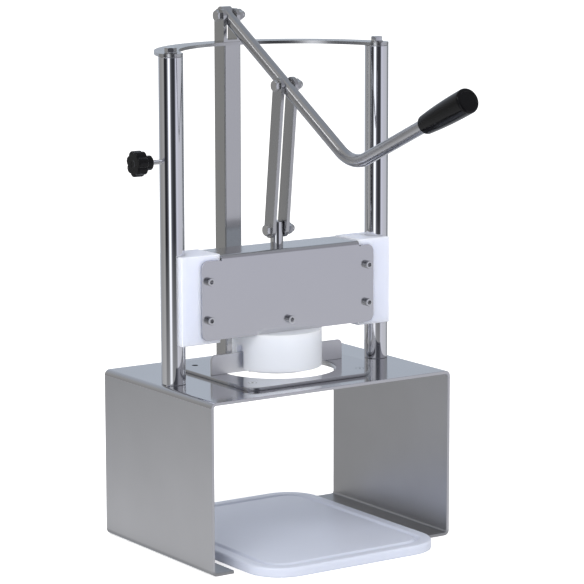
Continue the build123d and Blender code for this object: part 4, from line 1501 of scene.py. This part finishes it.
# Tones and strengths of the two floors.
FLOOR_TONE = (0.9, 0.9, 0.9, 1)
FLOOR_STRENGTH = 0.55
GLOW_TONE = (0.97, 0.98, 1.0, 1)
GLOW_STRENGTH = 0.68

# Lamps: where they stand, how wide they are and their power in watts. All aim at one point.
LAMPS = (
    ("key_lamp", (-2.2, -1.6, 2.6), 1.6, 34),
    ("low_lamp", (-1.9, -1.5, 0.35), 1.0, 12),
    ("fill_lamp", (2.4, -2.2, 1.8), 2.0, 18),
    ("back_lamp", (0.4, 2.8, 2.4), 2.0, 14),
)
LAMP_TARGET = Vector((0, 0, 0.3))

# Widths of the two floors, how far the lit one lies below the other, and how far the camera sees.
FLOOR_SPAN = 40
GLOW_SPAN = 12
GLOW_DEPTH = 0.001
VIEW_DEPTH = 20


class PEELER_OT_stage(bpy.types.Operator):
    """Camera, floor, world and lamps"""

    bl_idname = "peeler.stage"
    bl_label = "Stage"

    def execute(self, context):
        studio = context.scene.peeler_studio
        scene = context.scene
        scene.view_settings.view_transform = "Standard"

        camera_data = bpy.data.cameras.new("photo_camera")
        camera_data.lens = studio.lens
        camera_data.sensor_width = studio.sensor
        camera_data.sensor_fit = "HORIZONTAL"
        camera_data.clip_end = VIEW_DEPTH
        camera = bpy.data.objects.new("photo_camera", camera_data)
        scene.collection.objects.link(camera)
        turn = Matrix.Rotation(-studio.turn, 4, "Z")
        tip = Matrix.Rotation(math.pi / 2 - studio.tip, 4, "X")
        roll = Matrix.Rotation(-studio.roll, 4, "Z")
        camera.matrix_world = Matrix.Translation(Vector(studio.eye)) @ turn @ tip @ roll
        scene.camera = camera

        bpy.ops.mesh.primitive_plane_add(size=FLOOR_SPAN)
        floor = added("floor")
        floor.data.materials.append(floor_material())
        floor.visible_glossy = False
        bpy.ops.mesh.primitive_plane_add(size=GLOW_SPAN, location=(0, 0, -GLOW_DEPTH))
        glow = added("floor_glow")
        glow.data.materials.append(glow_material())
        for rays in ("camera", "diffuse", "transmission", "shadow", "volume_scatter"):
            setattr(glow, "visible_" + rays, False)
        make_world(studio.ambient)

        for name, at, reach, watts in LAMPS:
            lamp_data = bpy.data.lights.new(name, "AREA")
            lamp_data.size = reach
            lamp_data.energy = watts
            lamp = bpy.data.objects.new(name, lamp_data)
            scene.collection.objects.link(lamp)
            aim = (LAMP_TARGET - Vector(at)).to_track_quat("-Z", "Y")
            lamp.matrix_world = Matrix.Translation(Vector(at)) @ aim.to_matrix().to_4x4()
            lamp.visible_glossy = False
            lamp.visible_camera = False
        return {"FINISHED"}


def floor_material():
    """White floor that keeps the object's shadow."""
    material = bpy.data.materials.new("white_floor")
    wire = emptied(material)
    paint = wire.node("ShaderNodeBsdfDiffuse", inputs={"Color": FLOOR_TONE})
    glow = wire.node("ShaderNodeEmission", inputs={"Color": opaque((1, 1, 1)), "Strength": FLOOR_STRENGTH})
    seen = wire.node("ShaderNodeLightPath", output=0)
    nothing = wire.node("ShaderNodeEmission", inputs={"Strength": 0.0})
    extra = wire.node("ShaderNodeMixShader", inputs={0: seen, 1: nothing, 2: glow})
    surface = wire.node("ShaderNodeAddShader", inputs={0: paint, 1: extra})
    wire.node("ShaderNodeOutputMaterial", inputs={"Surface": surface})
    return material


def glow_material():
    """Lit floor as metal sees it: bright near the object, fading into the studio further out."""
    material, wire, place = begin("lit_floor")
    reach = wire.node("ShaderNodeVectorMath", {"operation": "LENGTH"}, {0: place}, output=1)
    stops = [(distance / GLOW_END, (share,) * 3) for distance, share in GLOW_FADE]
    fade = wire.ramp(stops, reach * (1 / GLOW_END))
    x, y = (wire.node("ShaderNodeSeparateXYZ", inputs={0: place}, output=index) for index in range(2))
    cast = wire.ramp(DARK_STRIPE, x + y * STRIPE_LEAN)
    under = wire.ramp(DARK_STRIPE, x + UNDER_START)
    back = wire.ramp(DARK_BACK, y + BACK_START)
    share = fade * (1 - wire.math("MAXIMUM", cast, under) * back * DARK_SHARE)
    lit = wire.node("ShaderNodeEmission", inputs={"Color": GLOW_TONE, "Strength": GLOW_STRENGTH})
    clear = wire.node("ShaderNodeBsdfTransparent")
    surface = wire.node("ShaderNodeMixShader", inputs={0: share, 1: clear, 2: lit})
    wire.node("ShaderNodeOutputMaterial", inputs={"Surface": surface})
    return material


def make_world(ambient):
    """White to the camera, soft all round for matt surfaces, banded for metal."""
    world = bpy.context.scene.world or bpy.data.worlds.new("studio")
    bpy.context.scene.world = world
    wire = emptied(world)
    way = wire.node("ShaderNodeTexCoord", output=0)
    x, y, z = (wire.node("ShaderNodeSeparateXYZ", inputs={0: way}, output=index) for index in range(3))
    share = wire.math("ARCTAN2", x, y * -1) * (0.5 / math.pi) + 0.5

    def ring(bands):
        peak = max(value for place, value in bands)
        stops = [((place + 180) / 360, (value / peak,) * 3) for place, value in bands]
        return wire.ramp(stops, share) * peak

    tint = wire.ramp([((place + 180) / 360, value) for place, value in STUDIO_TINTS], share)
    over, above = wire.ramp(HORIZON, z), wire.ramp(OVERHEAD, z)
    heights = [(place, (value,) * 3) for place, value in SOFTBOX_HEIGHTS]
    softbox = wire.ramp(heights, z) * ring(SOFTBOX_ANGLES)
    around = ring(STUDIO_BANDS) * (1 - over) + ring(STUDIO_UPPER) * over
    studio = around * (1 - above) + above * OVERHEAD_LIGHT + softbox * SOFTBOX_LIGHT
    rays = ("Is Camera Ray", "Is Glossy Ray", "Is Transmission Ray")
    camera, glossy, clear = (wire.node("ShaderNodeLightPath", output=name) for name in rays)
    white = wire.math("MAXIMUM", camera, clear)
    strength = (1 - glossy) * ambient + glossy * studio
    strength = strength * (1 - white) + white
    tone = (glossy * (1 - white)).mix(opaque((1, 1, 1)), tint)
    light = wire.node("ShaderNodeBackground", inputs={"Color": tone, "Strength": strength})
    wire.node("ShaderNodeOutputWorld", inputs={"Surface": light})


# Panel and registration


class PEELER_PT_panel(bpy.types.Panel):
    """Builds the peeler piece by piece"""

    bl_idname = "PEELER_PT_panel"
    bl_label = "Pineapple peeler"
    bl_space_type = "VIEW_3D"
    bl_region_type = "UI"
    bl_category = "Peeler"

    def draw(self, context):
        for operator in operators:
            self.layout.operator(operator.bl_idname)
        for name in groups:
            group = getattr(context.scene, name)
            for key in group.__annotations__:
                self.layout.prop(group, key)


operators = [
    PEELER_OT_base,
    PEELER_OT_cutter_plate,
    PEELER_OT_knives,
    PEELER_OT_columns,
    PEELER_OT_mast,
    PEELER_OT_arch,
    PEELER_OT_fork,
    PEELER_OT_lever,
    PEELER_OT_grip,
    PEELER_OT_links,
    PEELER_OT_head,
    PEELER_OT_guide_blocks,
    PEELER_OT_pusher,
    PEELER_OT_stud,
    PEELER_OT_bolts,
    PEELER_OT_socket_screws,
    PEELER_OT_lock,
    PEELER_OT_board,
    PEELER_OT_hidden_finish,
    PEELER_OT_stage,
]
groups = {"peeler_sizes": PeelerSizes, "peeler_colors": PeelerColors, "peeler_studio": PeelerStudio}


def register():
    """Add the classes and the scene's settings."""
    for item in [*groups.values(), *operators, PEELER_PT_panel]:
        bpy.utils.register_class(item)
    for name, group in groups.items():
        setattr(bpy.types.Scene, name, PointerProperty(type=group))


def unregister():
    """Take them away again."""
    for name in groups:
        delattr(bpy.types.Scene, name)
    for item in reversed([*groups.values(), *operators, PEELER_PT_panel]):
        bpy.utils.unregister_class(item)


def main():
    """Build the whole scene in order."""
    register()
    bpy.ops.object.select_all(action="DESELECT")
    for operator in operators:
        group, name = operator.bl_idname.split(".")
        getattr(getattr(bpy.ops, group), name)()


if __name__ == "__main__":
    main()
